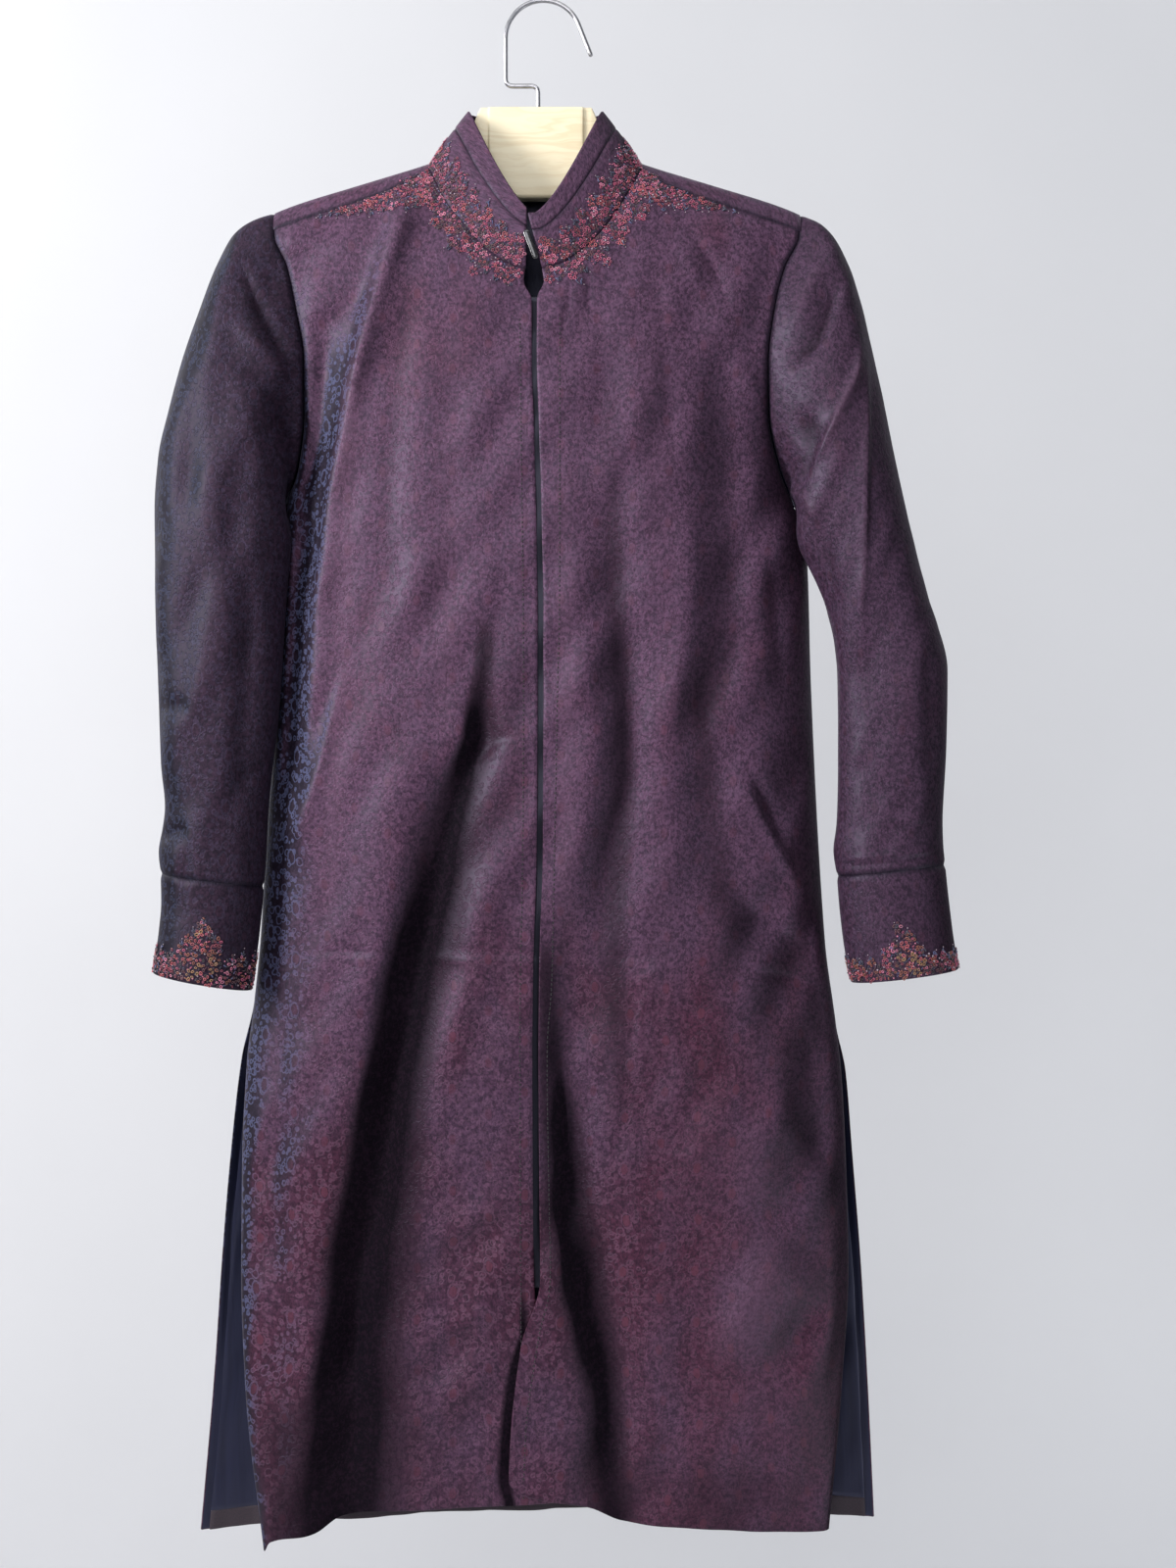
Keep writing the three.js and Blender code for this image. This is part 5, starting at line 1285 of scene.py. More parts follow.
# Over a whole piece, the second and third arguments add painted blue sheen and painted shade, and side_shade
# sets the painted shade on faces turned to +X
def jacquard(name, blueness=0.0, dimness=0.0, clearness=1.0, side_shade=0.7):
    """A shot damask in mauve and burgundy, with painted shade in folds and on faces turned to +X, a painted
    steel-blue sheen on faces turned to -X and painted highlights on ridges.
    """
    graph = Graph(name)
    cloth = graph.cloth_map()
    lines, medallion = damask(graph, cloth)
    place = graph.place()
    field = graph.split(cloth)[:2]
    grain = graph.stretched(field, GRAIN, 2.0, 0.8)
    speck = graph.stretched(field, SPECK, 1.0, 0.7, layer=7.3)
    weave = 0.5 + (grain - 0.5) * GRAIN_CONTRAST + (speck - 0.5) * SPECK_CONTRAST
    weave = weave.most(0).least(1)
    cloud = graph.noise(place, 5.5, 3.0, 0.55)
    drift = graph.stretched(field, DRIFT, 3.0, 0.6, layer=3.1)
    side, _, height = graph.split(place)
    low = 1 - height.step(*SHOT["low"])
    red = ((cloud - 0.5) * 2.4 + (drift - 0.5) * 1.4 + low * 0.55 - blueness).step(0.0, 0.9)
    ground = graph.blend(MAUVE, ROSE, red)
    figure = graph.blend(PLUM, BURGUNDY, red)
    woven = graph.blend(figure, ground, weave * 0.85 + 0.1)
    fainter = 1 - side.step(*SHOT["clear"]) * 0.4
    clear = (0.16 + red * 0.22 + low * 0.1) * clearness * fainter
    between = graph.blend(woven, figure, clear * 0.8)
    figured = graph.blend(between, graph.blend(woven, GLEAM, clear * 0.7), lines)
    rosy = graph.blend(figured, OVAL, medallion * (0.22 + red * 0.36) * clearness)
    turn, fold, seam = [graph.attribute(key) for key in ("turn", "fold", "seam")]
    # Painted blue sheen: steel blue on faces turned to -X, towards the key lamp, mostly in the band beside
    # the right sleeve, and more of it over a whole sleeve
    painted_sheen_band = (1 - side.step(*SHOT["sleeve"])).most(0.15)
    sheen = (-1 * turn).step(*SHOT["sheen"]) * painted_sheen_band + blueness * 0.8
    blue = graph.blend(INK, STEEL, (lines * 1.1 * clearness + weave * 0.35 - 0.26).most(0).least(1))
    shot = graph.blend(rosy, blue, (sheen * 0.9).least(1))
    # Painted shade in folds, with painted burgundy at their edges, and a painted highlight on ridges
    deep = (fold * (0.85 + drift * 0.3)).step(*SHOT["deep"])
    shot = graph.blend(shot, GLEAM, (-1 * fold).step(*SHOT["gleam"]) * 0.35)
    shot = graph.blend(shot, BURGUNDY, deep.step(0.02, 0.4) * 0.6)
    # Painted shade: darker on faces turned to +X, away from the key lamp, in folds, over a whole sleeve, and
    # towards the bottom
    dark_turn = turn.step(*SHOT["dark_turn"]) * side_shade
    away = (dark_turn + deep + dimness + low * 0.16).least(SHOT["most_dark"])
    shade_tone = graph.blend(PAINTED_SHADE_NAVY, PLUM, weave * (1 - lines) * 0.3)
    shaded = graph.blend(shot, shade_tone, away)
    # Painted shade in the seam ditches
    shaded = graph.blend(shaded, INK, seam * 0.75)
    relief = grain * 0.5 + speck * 0.3 + (1 - lines) * 0.8
    normal = graph.bump(relief, 0.00025, 0.7)
    satin_side = graph.surface({
        "Base Color": shaded, "Roughness": 0.4 + grain * 0.1, "Normal": normal, "Specular IOR Level": 0.45,
        "Specular Tint": (0.75, 0.75, 1.0, 1), "Anisotropic": 0.35, "Sheen Weight": 0.12,
        "Sheen Roughness": 0.4, "Sheen Tint": (0.5, 0.45, 0.7, 1),
    })
    dull_side = graph.surface({
        "Base Color": shaded, "Roughness": 0.8, "Normal": normal, "Specular IOR Level": 0.05,
        "Sheen Weight": 0.01, "Sheen Roughness": 0.5, "Sheen Tint": (0.5, 0.42, 0.6, 1),
    })
    # Where painted shade lies, the cloth also takes the dull side's faint gloss
    dull = (0.3 + lines * 0.3).most(away)
    mixed = graph.node("ShaderNodeMixShader", {0: dull, 1: satin_side, 2: dull_side})
    return graph.finish(Signal(graph, mixed.outputs[0]))


def satin(name, base):
    """A smooth cloth with creased streaks that run down it, painted lighter along them as highlights."""
    graph = Graph(name)
    field = graph.split(graph.cloth_map())[:2]
    streak = graph.stretched(field, (160, 5), 3.0, 0.6)
    fine = graph.stretched(field, (1900, 1900), 1.0, 0.5)
    streak_highlight = tuple(c * 2.6 for c in base)
    # Painted highlights along the streaks
    tone = graph.blend(base, streak_highlight, (streak - 0.35) * 1.4)
    normal = graph.bump(streak * 0.8 + fine * 0.12, 0.0006, 0.6)
    return graph.finish(graph.surface({
        "Base Color": tone, "Roughness": 0.3 + fine * 0.12, "Normal": normal, "Anisotropic": 0.5,
        "Specular IOR Level": 0.5, "Specular Tint": (0.75, 0.75, 1.0, 1), "Sheen Weight": 0.1,
        "Sheen Tint": (0.4, 0.42, 0.8, 1),
    }))


def facing_cloth(name):
    graph = Graph(name)
    grain = graph.stretched(graph.split(graph.cloth_map())[:2], (1300, 700), 2.0, 0.7)
    tone = graph.blend(colour(28, 19, 30), colour(50, 33, 45), grain.step(0.35, 0.7))
    normal = graph.bump(grain, 0.0002, 0.6)
    return graph.finish(graph.surface({"Base Color": tone, "Roughness": 0.6 + grain * 0.2,
                                       "Normal": normal, "Sheen Weight": 0.2}))


def pale_wood(name):
    graph = Graph(name)
    x, y, z = place = graph.split(graph.place())
    drift = graph.stretched(place, (9, 9, 40), 3.0, 0.55)
    rings = graph.noise(graph.combine(x * 6, y * 20, z * 190 + drift * 9), 1.0, 3.0, 0.6)
    pores = graph.stretched(place, (60, 200, 1500), 2.0, 0.6)
    tone = graph.blend(colour(251, 239, 205), colour(240, 223, 183), rings.step(0.42, 0.72))
    tone = graph.blend(tone, colour(196, 174, 134), pores.step(0.62, 0.78) * 0.3)
    normal = graph.bump(rings * 0.3 + pores * 0.5, 0.0001, 0.5)
    return graph.finish(graph.surface({"Base Color": tone, "Roughness": 0.36 + rings * 0.14,
                                       "Normal": normal, "Coat Weight": 0.25, "Coat Roughness": 0.25}))


def chrome(name, light=0.46):
    graph = Graph(name)
    place = graph.place()
    smudge = graph.noise(place, 90, 3.0, 0.6)
    scratch = graph.stretched(graph.split(place), (2600, 2600, 240), 2.0)
    tone = graph.blend((light, light, light * 1.05), (light * 0.65,) * 3, smudge.step(0.45, 0.75))
    normal = graph.bump(scratch, 0.00002, 0.5)
    return graph.finish(graph.surface({"Base Color": tone, "Metallic": 1.0,
                                       "Roughness": 0.12 + smudge * 0.14, "Normal": normal}))


def thread(name, roughness, shine, coat=0.0):
    """Thread or beads, tinted by the attribute of each stitch or bead."""
    graph = Graph(name)
    tint = graph.attribute("tint", "Color")
    fleck = graph.noise(graph.place(), 1400, 2.0, 0.6)
    tone = graph.blend(tint, (0.9, 0.85, 0.88), (fleck - 0.62).most(0) * 0.8)
    normal = graph.bump(fleck, 0.0001, 0.5)
    return graph.finish(graph.surface({"Base Color": tone, "Roughness": roughness + fleck * 0.1,
                                       "Normal": normal, "Sheen Weight": shine, "Coat Weight": coat,
                                       "Coat Roughness": 0.12}))


def backdrop_paint(name):
    """A pale wall that is not seen from behind."""
    graph = Graph(name)
    cloud = graph.noise(graph.place(), 2.2, 3.0, 0.5)
    tone = graph.blend((0.61, 0.62, 0.64), (0.67, 0.68, 0.7), cloud)
    paint = graph.surface({"Base Color": tone, "Roughness": 0.85})
    clear = graph.get("ShaderNodeBsdfTransparent")
    behind = graph.get("ShaderNodeNewGeometry", "Backfacing")
    mixed = graph.node("ShaderNodeMixShader", {0: behind, 1: paint, 2: clear})
    return graph.finish(Signal(graph, mixed.outputs[0]))


# The pieces of cloth

ROOT = "root"


def sewn(piece, node, slot, flat, rests_on, *materials):
    """Finishes a piece of cloth: its materials, its body and the node that it stands for; its cut is not
    used.
    """
    for material in materials:
        piece.data.materials.append(material)
    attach(piece, ROOT)
    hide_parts(node)


def hard(piece, node, material):
    """Finishes a piece of wood or metal."""
    piece.data.materials.append(material)
    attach(piece, ROOT)
    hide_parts(node)


def added(piece):
    """Finishes thread or beads, which stand for no node."""
    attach(piece, ROOT)


JACQUARD = jacquard("navy and burgundy jacquard")
# Two copies of the sleeves' cloth with different painted shade and painted blue sheen: the right sleeve
# bluer and darker, the left pinker and lighter
SLEEVE_JACQUARDS = {-1: jacquard("right sleeve jacquard", 0.6, 0.52, 0.6, 0.15),
                    1: jacquard("left sleeve jacquard", 0.12, 0.34, 0.6, 0.45)}
LINING = satin("navy lining satin", (0.0055, 0.0065, 0.017))
# A near-black lining for the insides and the underlap: its darkness is partly painted shade, inside the
# garment and in the gap between the fronts
SHADE_DARK_LINING = satin("dark lining", (0.0035, 0.003, 0.005))
FACING = facing_cloth("plum facing")
WOOD = pale_wood("pale hanger wood")
CHROME, DARK_STEEL = chrome("polished chrome"), chrome("dark clasp steel", 0.12)

for side, hem, word in ((-1, RIGHT_HEM, "right"), (1, LEFT_HEM, "left")):
    sewn(wall(f"front_{word}_cloth", thickness=CLOTH, **front_grid(side, hem)), f"front_{word}", "jacquard",
         (0.30, 1.08), ["hanger_body"], JACQUARD, SHADE_DARK_LINING)
sewn(wall("back_cloth", thickness=CLOTH, **back_grid()), "back", "jacquard", (0.60, 1.12),
     ["hanger_body"], JACQUARD, LINING)


def tube_piece(name, side, parts, flat, rests_on):
    """A sleeve or a cuff band."""
    sewn(wall(name + "_cloth", thickness=CLOTH, around=True, **parts), name, "jacquard", flat, [rests_on],
         SLEEVE_JACQUARDS[side], SHADE_DARK_LINING)


for side, rows, word in ((-1, RIGHT_SLEEVE, "right"), (1, LEFT_SLEEVE, "left")):
    parts = sleeve_grid(rows, side, 0, CUFF_STATION, SLEEVE_FINENESS["rows"])
    tube_piece(f"sleeve_{word}", side, sewn_rims(parts, True, True), (0.34, 0.62), f"front_{word}_cloth")
    parts = sleeve_grid(rows, side, CUFF_STATION, LAST_STATION, SLEEVE_FINENESS["cuff_rows"])
    tube_piece(f"cuff_{word}", side, sewn_rims(parts, True, False), (0.24, 0.09), f"sleeve_{word}_cloth")

stand = {"grid": collar_grid(-0.03, BORDER_START, COLLAR_FINENESS["stand_rows"])[:, ::-1]}
stand = sewn_rims(stand, True, True, around=False, depth=0.7, reach=1.5)
sewn(wall("collar_stand_cloth", thickness=CLOTH, **stand), "collar_stand", "jacquard",
     (0.46, 0.036), ["back_cloth"], JACQUARD, SHADE_DARK_LINING)
border = {"grid": collar_grid(BORDER_START, 1, COLLAR_FINENESS["border_rows"])[:, ::-1]}
border = sewn_rims(border, False, True, around=False, depth=0.5, reach=1.2)
sewn(wall("collar_border_cloth", thickness=CLOTH, **border), "collar_border", "jacquard", (0.36, 0.016),
     ["collar_stand_cloth"], JACQUARD, SHADE_DARK_LINING)

UNDERLAP = {"top": 243, "bottom": 1012, "half": 15, "gap": 1.8, "rows": 160, "columns": 12}


def underlap_grid():
    drop = np.linspace(UNDERLAP["top"], UNDERLAP["bottom"], UNDERLAP["rows"] + 1)[:, None]
    across = np.linspace(0, 1, UNDERLAP["columns"] + 1)[None]
    x = mix(OPENING("right", drop) - UNDERLAP["half"], OPENING("left", drop) + UNDERLAP["half"], across)
    grid = front(x, np.broadcast_to(drop, x.shape))
    return grid - grid_normals(grid) * (CLOTH + UNDERLAP["gap"])


sewn(wall("underlap_cloth", underlap_grid(), THIN_CLOTH), "front_underlap", "lining", (0.036, 0.77),
     ["front_right_cloth"], SHADE_DARK_LINING, SHADE_DARK_LINING)

LINING_TOP = 790
FACING_HEIGHT = 15
LAYER = {"gap": CLOTH + 0.5 + 0.6, "ripple": 0.35, "inset": 0.975, "columns": 150}


def back_layer(top, bottom, rows, seed):
    """A sheet just inside the back. A top below 0 is measured from the hem, as the bottom is."""
    at = np.linspace(0, 1, rows + 1)[:, None]
    across = np.linspace(-1, 1, LAYER["columns"] + 1)[None]
    hem_middle = MIDDLE.last("x")
    hem_x = np.where(across < 0, mix(hem_middle, BACK_HEM.rows[0, 0], -across),
                     mix(hem_middle, BACK_HEM.rows[-1, 0], across))
    hem = BACK_HEM("drop", hem_x)
    start, end = (hem + top if top < 0 else np.full(hem.shape, float(top))), hem + bottom
    drops = mix(start, end, at)
    left, right = LEFT_OUTLINE("back_x", drops), RIGHT_OUTLINE("back_x", drops)
    middle = MIDDLE("x", drops)
    inset = LAYER["inset"]
    x = np.where(across < 0, mix(middle, right, -across * inset), mix(middle, left, across * inset))
    grid = back(x, drops)[:, ::-1]
    ripple = undulation(grid[..., 0], -grid[..., 2], seed, 0.5)
    return grid - grid_normals(grid) * (LAYER["gap"] + LAYER["ripple"] * ripple)[..., None]


lining = back_layer(LINING_TOP, -FACING_HEIGHT - 0.5, 110, 5)
sewn(wall("lining_back_cloth", lining, THIN_CLOTH), "lining_back", "lining", (0.54, 0.42),
     ["back_cloth"], LINING, LINING)
hem_strip = back_layer(-FACING_HEIGHT, -0.4, 8, 6)
sewn(wall("hem_facing_cloth", hem_strip, THIN_CLOTH), "back_hem_facing", "facing", (0.55, 0.016),
     ["back_cloth"], FACING, FACING)

# Hanger, hook and clasp

HANGER_CENTRE = -6
# Half of the hanger, by the distance from its middle
HANGER = Table(
    "out top bottom front back",
    (0, 85.5, 158, -12, 4),
    (36.5, 85.5, 158, -12, 4),
    (38.5, 85.5, 158, -10, 4),
    (43.5, 85.5, 158.5, -10, 4),
    (49, 97, 159, -10, 4),
    (60, 112, 161, -9, 4),
    (80, 133, 166, -8, 4.5),
)
ARM = {"tip": 192, "under": 1.7, "front": -7, "back": 5, "bottom_start": 166, "bottom_end": 192,
       "round": 3, "taper": 6, "blunt": 0.35}
SECTION_SIDES = 6


def hanger_row(out):
    """Top, bottom, front and back of the board at a distance from its middle."""
    start = HANGER.last("out")
    row = {name: HANGER(name, out) for name in ("top", "bottom", "front", "back")}
    along = np.clip((out - start) / (ARM["tip"] - start), 0, 1)
    shift = abs(HANGER_CENTRE - NECK_CENTRE)
    ridge = np.maximum(ridge_drop(out - shift), ridge_drop(out + shift)) + CLOTH + ARM["under"]
    arm = out > start
    past = np.clip((out - ARM["tip"] + ARM["taper"]) / ARM["taper"], 0, 1)
    end = np.sqrt(np.clip(1 - past**2, 0, 1))
    top = np.where(arm, ridge, row["top"])
    bottom = np.where(arm, mix(ARM["bottom_start"], ARM["bottom_end"], along), row["bottom"])
    fore = np.where(arm, ARM["front"], row["front"])
    rear = np.where(arm, ARM["back"], row["back"])
    middle_drop, middle_y = (top + bottom) / 2, (fore + rear) / 2
    keep = ARM["blunt"] + (1 - ARM["blunt"]) * end
    return (mix(middle_drop, top, keep), mix(middle_drop, bottom, keep), mix(middle_y, fore, keep),
            mix(middle_y, rear, keep))


def rounded_section(x, top, bottom, fore, rear):
    """A rectangle with round corners, looking along the hanger."""
    radius = min(ARM["round"], (bottom - top) / 2.2, (rear - fore) / 2.2)
    corners = ((rear, top, 0), (rear, bottom, 1), (fore, bottom, 2), (fore, top, 3))
    signs = ((-1, 1), (-1, -1), (1, -1), (1, 1))
    ring = []
    for (y, drop, quarter), (sy, sd) in zip(corners, signs):
        for k in range(SECTION_SIDES + 1):
            angle = math.pi / 2 * (quarter - 1 + k / SECTION_SIDES)
            level = drop + sd * radius + radius * math.sin(angle)
            ring.append((x, y + sy * radius + radius * math.cos(angle), -level))
    return ring


# Where the board's cross-sections stand, closer together at its steps and at its tip
BOARD_STATIONS = np.array([0, 12, 24, 34, 36.2, 36.8, 38.2, 38.8, 43, 44, 46, 49, 52, 56, 60, 66, 72, 80, 90,
                           100, 110, 120, 130, 140, 150, 160, 170, 178, 184, 187, 189, 190.5, 191.5, 192])


def hanger_board():
    outs = np.concatenate([-BOARD_STATIONS[:0:-1], BOARD_STATIONS])
    rows = hanger_row(np.abs(outs))
    rings = [rounded_section(HANGER_CENTRE + x, *[float(v[i]) for v in rows]) for i, x in enumerate(outs)]
    return ringed("hanger_board", np.array(rings), sharp=28)


HOOK = {"rod": 1.9, "arch": 30, "arch_x": -0.4, "neck_x": -4.5, "shelf": 66.3, "bend": 6, "tail": 28,
        "turn": 21.8, "bend_steps": 8}


def bezier(a, b, c):
    t = np.linspace(0, 1, HOOK["bend_steps"] + 1)[1:, None]
    a, b, c = (np.array(p, float) for p in (a, b, c))
    return (1 - t) ** 2 * a + 2 * t * (1 - t) * b + t * t * c


def hook_line():
    arch_drop = HOOK["arch"] - HOOK["rod"]
    left = HOOK["arch_x"] - HOOK["arch"]
    neck, shelf, bend = HOOK["neck_x"], HOOK["shelf"], HOOK["bend"]
    stem = [(neck, drop) for drop in np.linspace(90, shelf + bend, 5)]
    first = bezier(stem[-1], (neck, shelf), (neck - bend, shelf))
    second = bezier((left + bend, shelf), (left, shelf), (left, shelf - bend))
    rise = [(left, drop) for drop in np.linspace(shelf - bend - 4, arch_drop + 4, 6)]
    angle = np.radians(np.linspace(180, HOOK["turn"], 40))
    arch_x = HOOK["arch_x"] + HOOK["arch"] * np.cos(angle)
    arch = np.stack([arch_x, arch_drop - HOOK["arch"] * np.sin(angle)], -1)
    turn = math.radians(HOOK["turn"])
    tail = arch[-1] + np.outer(np.linspace(4, HOOK["tail"] - 2, 6), (math.sin(turn), math.cos(turn)))
    flat = np.vstack([stem, first, [(left + bend, shelf)], second, rise, arch, tail])
    return points(flat[:, 0], np.zeros(len(flat)), flat[:, 1])


hard(hanger_board(), "hanger_body", WOOD)
hard(tube("chrome_hook", hook_line(), HOOK["rod"], sides=24), "hanger_hook", CHROME)

CLASP = {"length": 24, "width": 5, "thick": 1.6, "top_x": -13.5, "lean": 21, "drop": 204, "share": 0.8,
         "seat": 0.5}
CLASP_SIDES = 40


def clasp_bar():
    """A slim pillow-shaped bar that leans towards the left collar end."""
    half, reach = CLASP["width"] / 2, CLASP["length"] / 2 - CLASP["width"] / 2
    angle = np.linspace(0, 2 * math.pi, CLASP_SIDES, endpoint=False)
    across, end = np.cos(angle), np.where(np.sin(angle) > 0, reach, -reach)
    crown = [(math.cos(t), 0.3 + 0.7 * math.sin(t)) for t in np.linspace(0, math.radians(78), 7)]
    profile = [(0.6, 0.0), (1.0, 0.0), *crown]
    rings = [np.stack([half * wide * across, np.full(CLASP_SIDES, -deep * CLASP["thick"]),
                       half * wide * np.sin(angle) + end], -1) for wide, deep in profile]
    shape = np.array(rings).reshape(-1, 3)
    lean = math.radians(CLASP["lean"])
    turned = np.stack([shape[:, 0] * math.cos(lean) + -shape[:, 2] * math.sin(lean), shape[:, 1],
                       shape[:, 0] * math.sin(lean) + shape[:, 2] * math.cos(lean)], -1)
    middle = CLASP["top_x"] + CLASP["length"] / 2 * math.sin(lean)
    y = float(collar(np.array(-1.0), np.array(CLASP["share"]))[1]) + CLASP["seat"]
    turned += np.array([middle, y, -CLASP["drop"]])
    return ringed("collar_clasp", turned.reshape(len(profile), CLASP_SIDES, 3), sharp=60)


hard(clasp_bar(), "clasp_bar", DARK_STEEL)

# Embroidery, beads and stitches


class Pattern(Nodes):
    """A geometry tree with named sizes, whose result becomes a plain mesh."""

    def __init__(self, name, **sizes):
        self.tree = bpy.data.node_groups.new(name, "GeometryNodeTree")
        face = self.tree.interface
        face.new_socket("Geometry", in_out="INPUT", socket_type="NodeSocketGeometry")
        face.new_socket("Geometry", in_out="OUTPUT", socket_type="NodeSocketGeometry")
        for key, value in sizes.items():
            face.new_socket(key, in_out="INPUT", socket_type="NodeSocketFloat").default_value = value
        self.source = self.tree.nodes.new("NodeGroupInput")

    def input(self, name):
        return Signal(self, self.source.outputs[name])

    def named(self, name, kind):
        return self.get("GeometryNodeInputNamedAttribute", "Attribute", {"Name": name}, data_type=kind)

    def end(self, geometry, material):
        whole = self.get("GeometryNodeRealizeInstances", values={"Geometry": geometry})
        smooth_shaded = self.get("GeometryNodeSetShadeSmooth", values={"Geometry": whole})
        painted = self.get("GeometryNodeSetMaterial",
                           values={"Geometry": smooth_shaded, "Material": material})
        self.node("NodeGroupOutput", {"Geometry": painted})

    def grow(self, source, name):
        """Runs the tree on an object and returns a plain mesh in its place."""
        modifier = source.modifiers.new("pattern", "NODES")
        modifier.node_group = self.tree
        evaluated = source.evaluated_get(bpy.context.evaluated_depsgraph_get())
        mesh = bpy.data.meshes.new_from_object(evaluated)
        mesh.name = name
        made = placed(name, mesh)
        source.modifiers.remove(modifier)
        bpy.data.objects.remove(source)
        return made


LOOP, BUGLE, BEAD, LEAF = range(4)


def motif_tree(material):
    """Loops, bugle beads, round beads and leaves, each on the points of its kind."""
    tree = Pattern("threads and beads", loop=1.25, thread=0.34, bugle=2.6, bead=0.75, leaf=1.5)
    width = {name: tree.input(name) * MM for name in ("loop", "thread", "bugle", "bead", "leaf")}

    def circle(resolution, radius):
        sizes = {"Resolution": resolution, "Radius": radius}
        return tree.get("GeometryNodeCurvePrimitiveCircle", values=sizes)

    def ball(radius):
        return tree.get("GeometryNodeMeshUVSphere", values={"Segments": 6, "Rings": 4, "Radius": radius})

    def formed(geometry, **how):
        return tree.get("GeometryNodeTransform", values={"Geometry": geometry, **how})

    oval, rope = formed(circle(8, width["loop"]), Scale=(1, 0.66, 1)), circle(4, width["thread"])
    loop = tree.get("GeometryNodeCurveToMesh", values={"Curve": oval, "Profile Curve": rope})
    rod = tree.get("GeometryNodeMeshCylinder", values={
        "Vertices": 6, "Radius": width["thread"] * 1.3, "Depth": width["bugle"]})
    bugle = formed(rod, Rotation=(0, math.pi / 2, 0))
    bead, leaf = ball(width["bead"]), formed(ball(width["leaf"]), Scale=(1, 0.42, 0.36))
    kind = tree.named("kind", "INT")
    spin = tree.get("FunctionNodeEulerToRotation", values={0: tree.named("spin", "FLOAT_VECTOR")})
    joined = tree.node("GeometryNodeJoinGeometry")
    for number, form in enumerate((loop, bugle, bead, leaf)):
        chosen = tree.get("FunctionNodeCompare", values={2: kind, 3: number}, data_type="INT",
                          operation="EQUAL")
        group = tree.get("GeometryNodeInstanceOnPoints", values={
            "Points": tree.input("Geometry"), "Selection": chosen, "Instance": form, "Rotation": spin,
            "Scale": tree.named("size", "FLOAT")})
        tree.tree.links.new(group.socket, joined.inputs[0])
    tree.end(Signal(tree, joined.outputs[0]), material)
    return tree


def stitch_tree(material):
    """Short threads at even steps along lines."""
    tree = Pattern("running stitch", pitch=3.7, stitch=2.3, thread=0.9)
    line = tree.get("GeometryNodeMeshToCurve", values={"Mesh": tree.input("Geometry")})
    steps = tree.get("GeometryNodeResampleCurve", values={
        "Curve": line, "Length": tree.input("pitch") * MM}, mode="LENGTH")
    ball = tree.get("GeometryNodeMeshUVSphere", values={"Segments": 6, "Rings": 5, "Radius": 1.0})
    scale = tree.combine(*[tree.input(name) * (MM / 2) for name in ("stitch", "thread", "thread")])
    stitch = tree.get("GeometryNodeTransform", values={"Geometry": ball, "Scale": scale})
    along = tree.get("GeometryNodeInputTangent")
    turned = tree.get("FunctionNodeAlignRotationToVector", values={"Vector": along}, axis="X")
    row = tree.get("GeometryNodeInstanceOnPoints", values={
        "Points": steps, "Instance": stitch, "Rotation": turned})
    tree.end(row, material)
    return tree


THREADS = thread("embroidery thread and beads", roughness=0.42, shine=0.4, coat=0.35)
SEWING = thread("sewing thread", roughness=0.6, shine=0.2)
MOTIFS, STITCHES = motif_tree(THREADS), stitch_tree(SEWING)

PINK, PALE_PINK, CORAL, CRIMSON, MAROON, DARK_RED = (colour(*c) for c in (
    (164, 60, 96), (206, 116, 146), (176, 74, 84), (128, 26, 56), (80, 16, 38), (30, 9, 20)))
SILK_NAVY, SILK_BLUE, SILVER, GOLD, RUST = (colour(*c) for c in (
    (30, 32, 66), (66, 72, 116), (164, 146, 158), (158, 116, 74), (138, 70, 50)))
NECK_TINTS = (PINK, PINK, CRIMSON, PALE_PINK, CORAL, MAROON, PINK)
CUFF_TINTS = (PINK, CRIMSON, CORAL, PALE_PINK, MAROON, RUST)
HEARTS = (DARK_RED, DARK_RED, SILK_NAVY, SILVER)

# Distances between flowers, between the small threads, and from a flower to these
SPACING = {"flower": 6.6, "fill": 1.9, "room": 3.1, "tries": 9}
KIND_SHARES = {LOOP: 0.32, BUGLE: 0.26, BEAD: 0.17, LEAF: 0.25}
PETALS = {"count": 5, "reach": 2.35}


# Half of the distance over which the direction of the cloth is measured
FRAME_STEP = 0.4


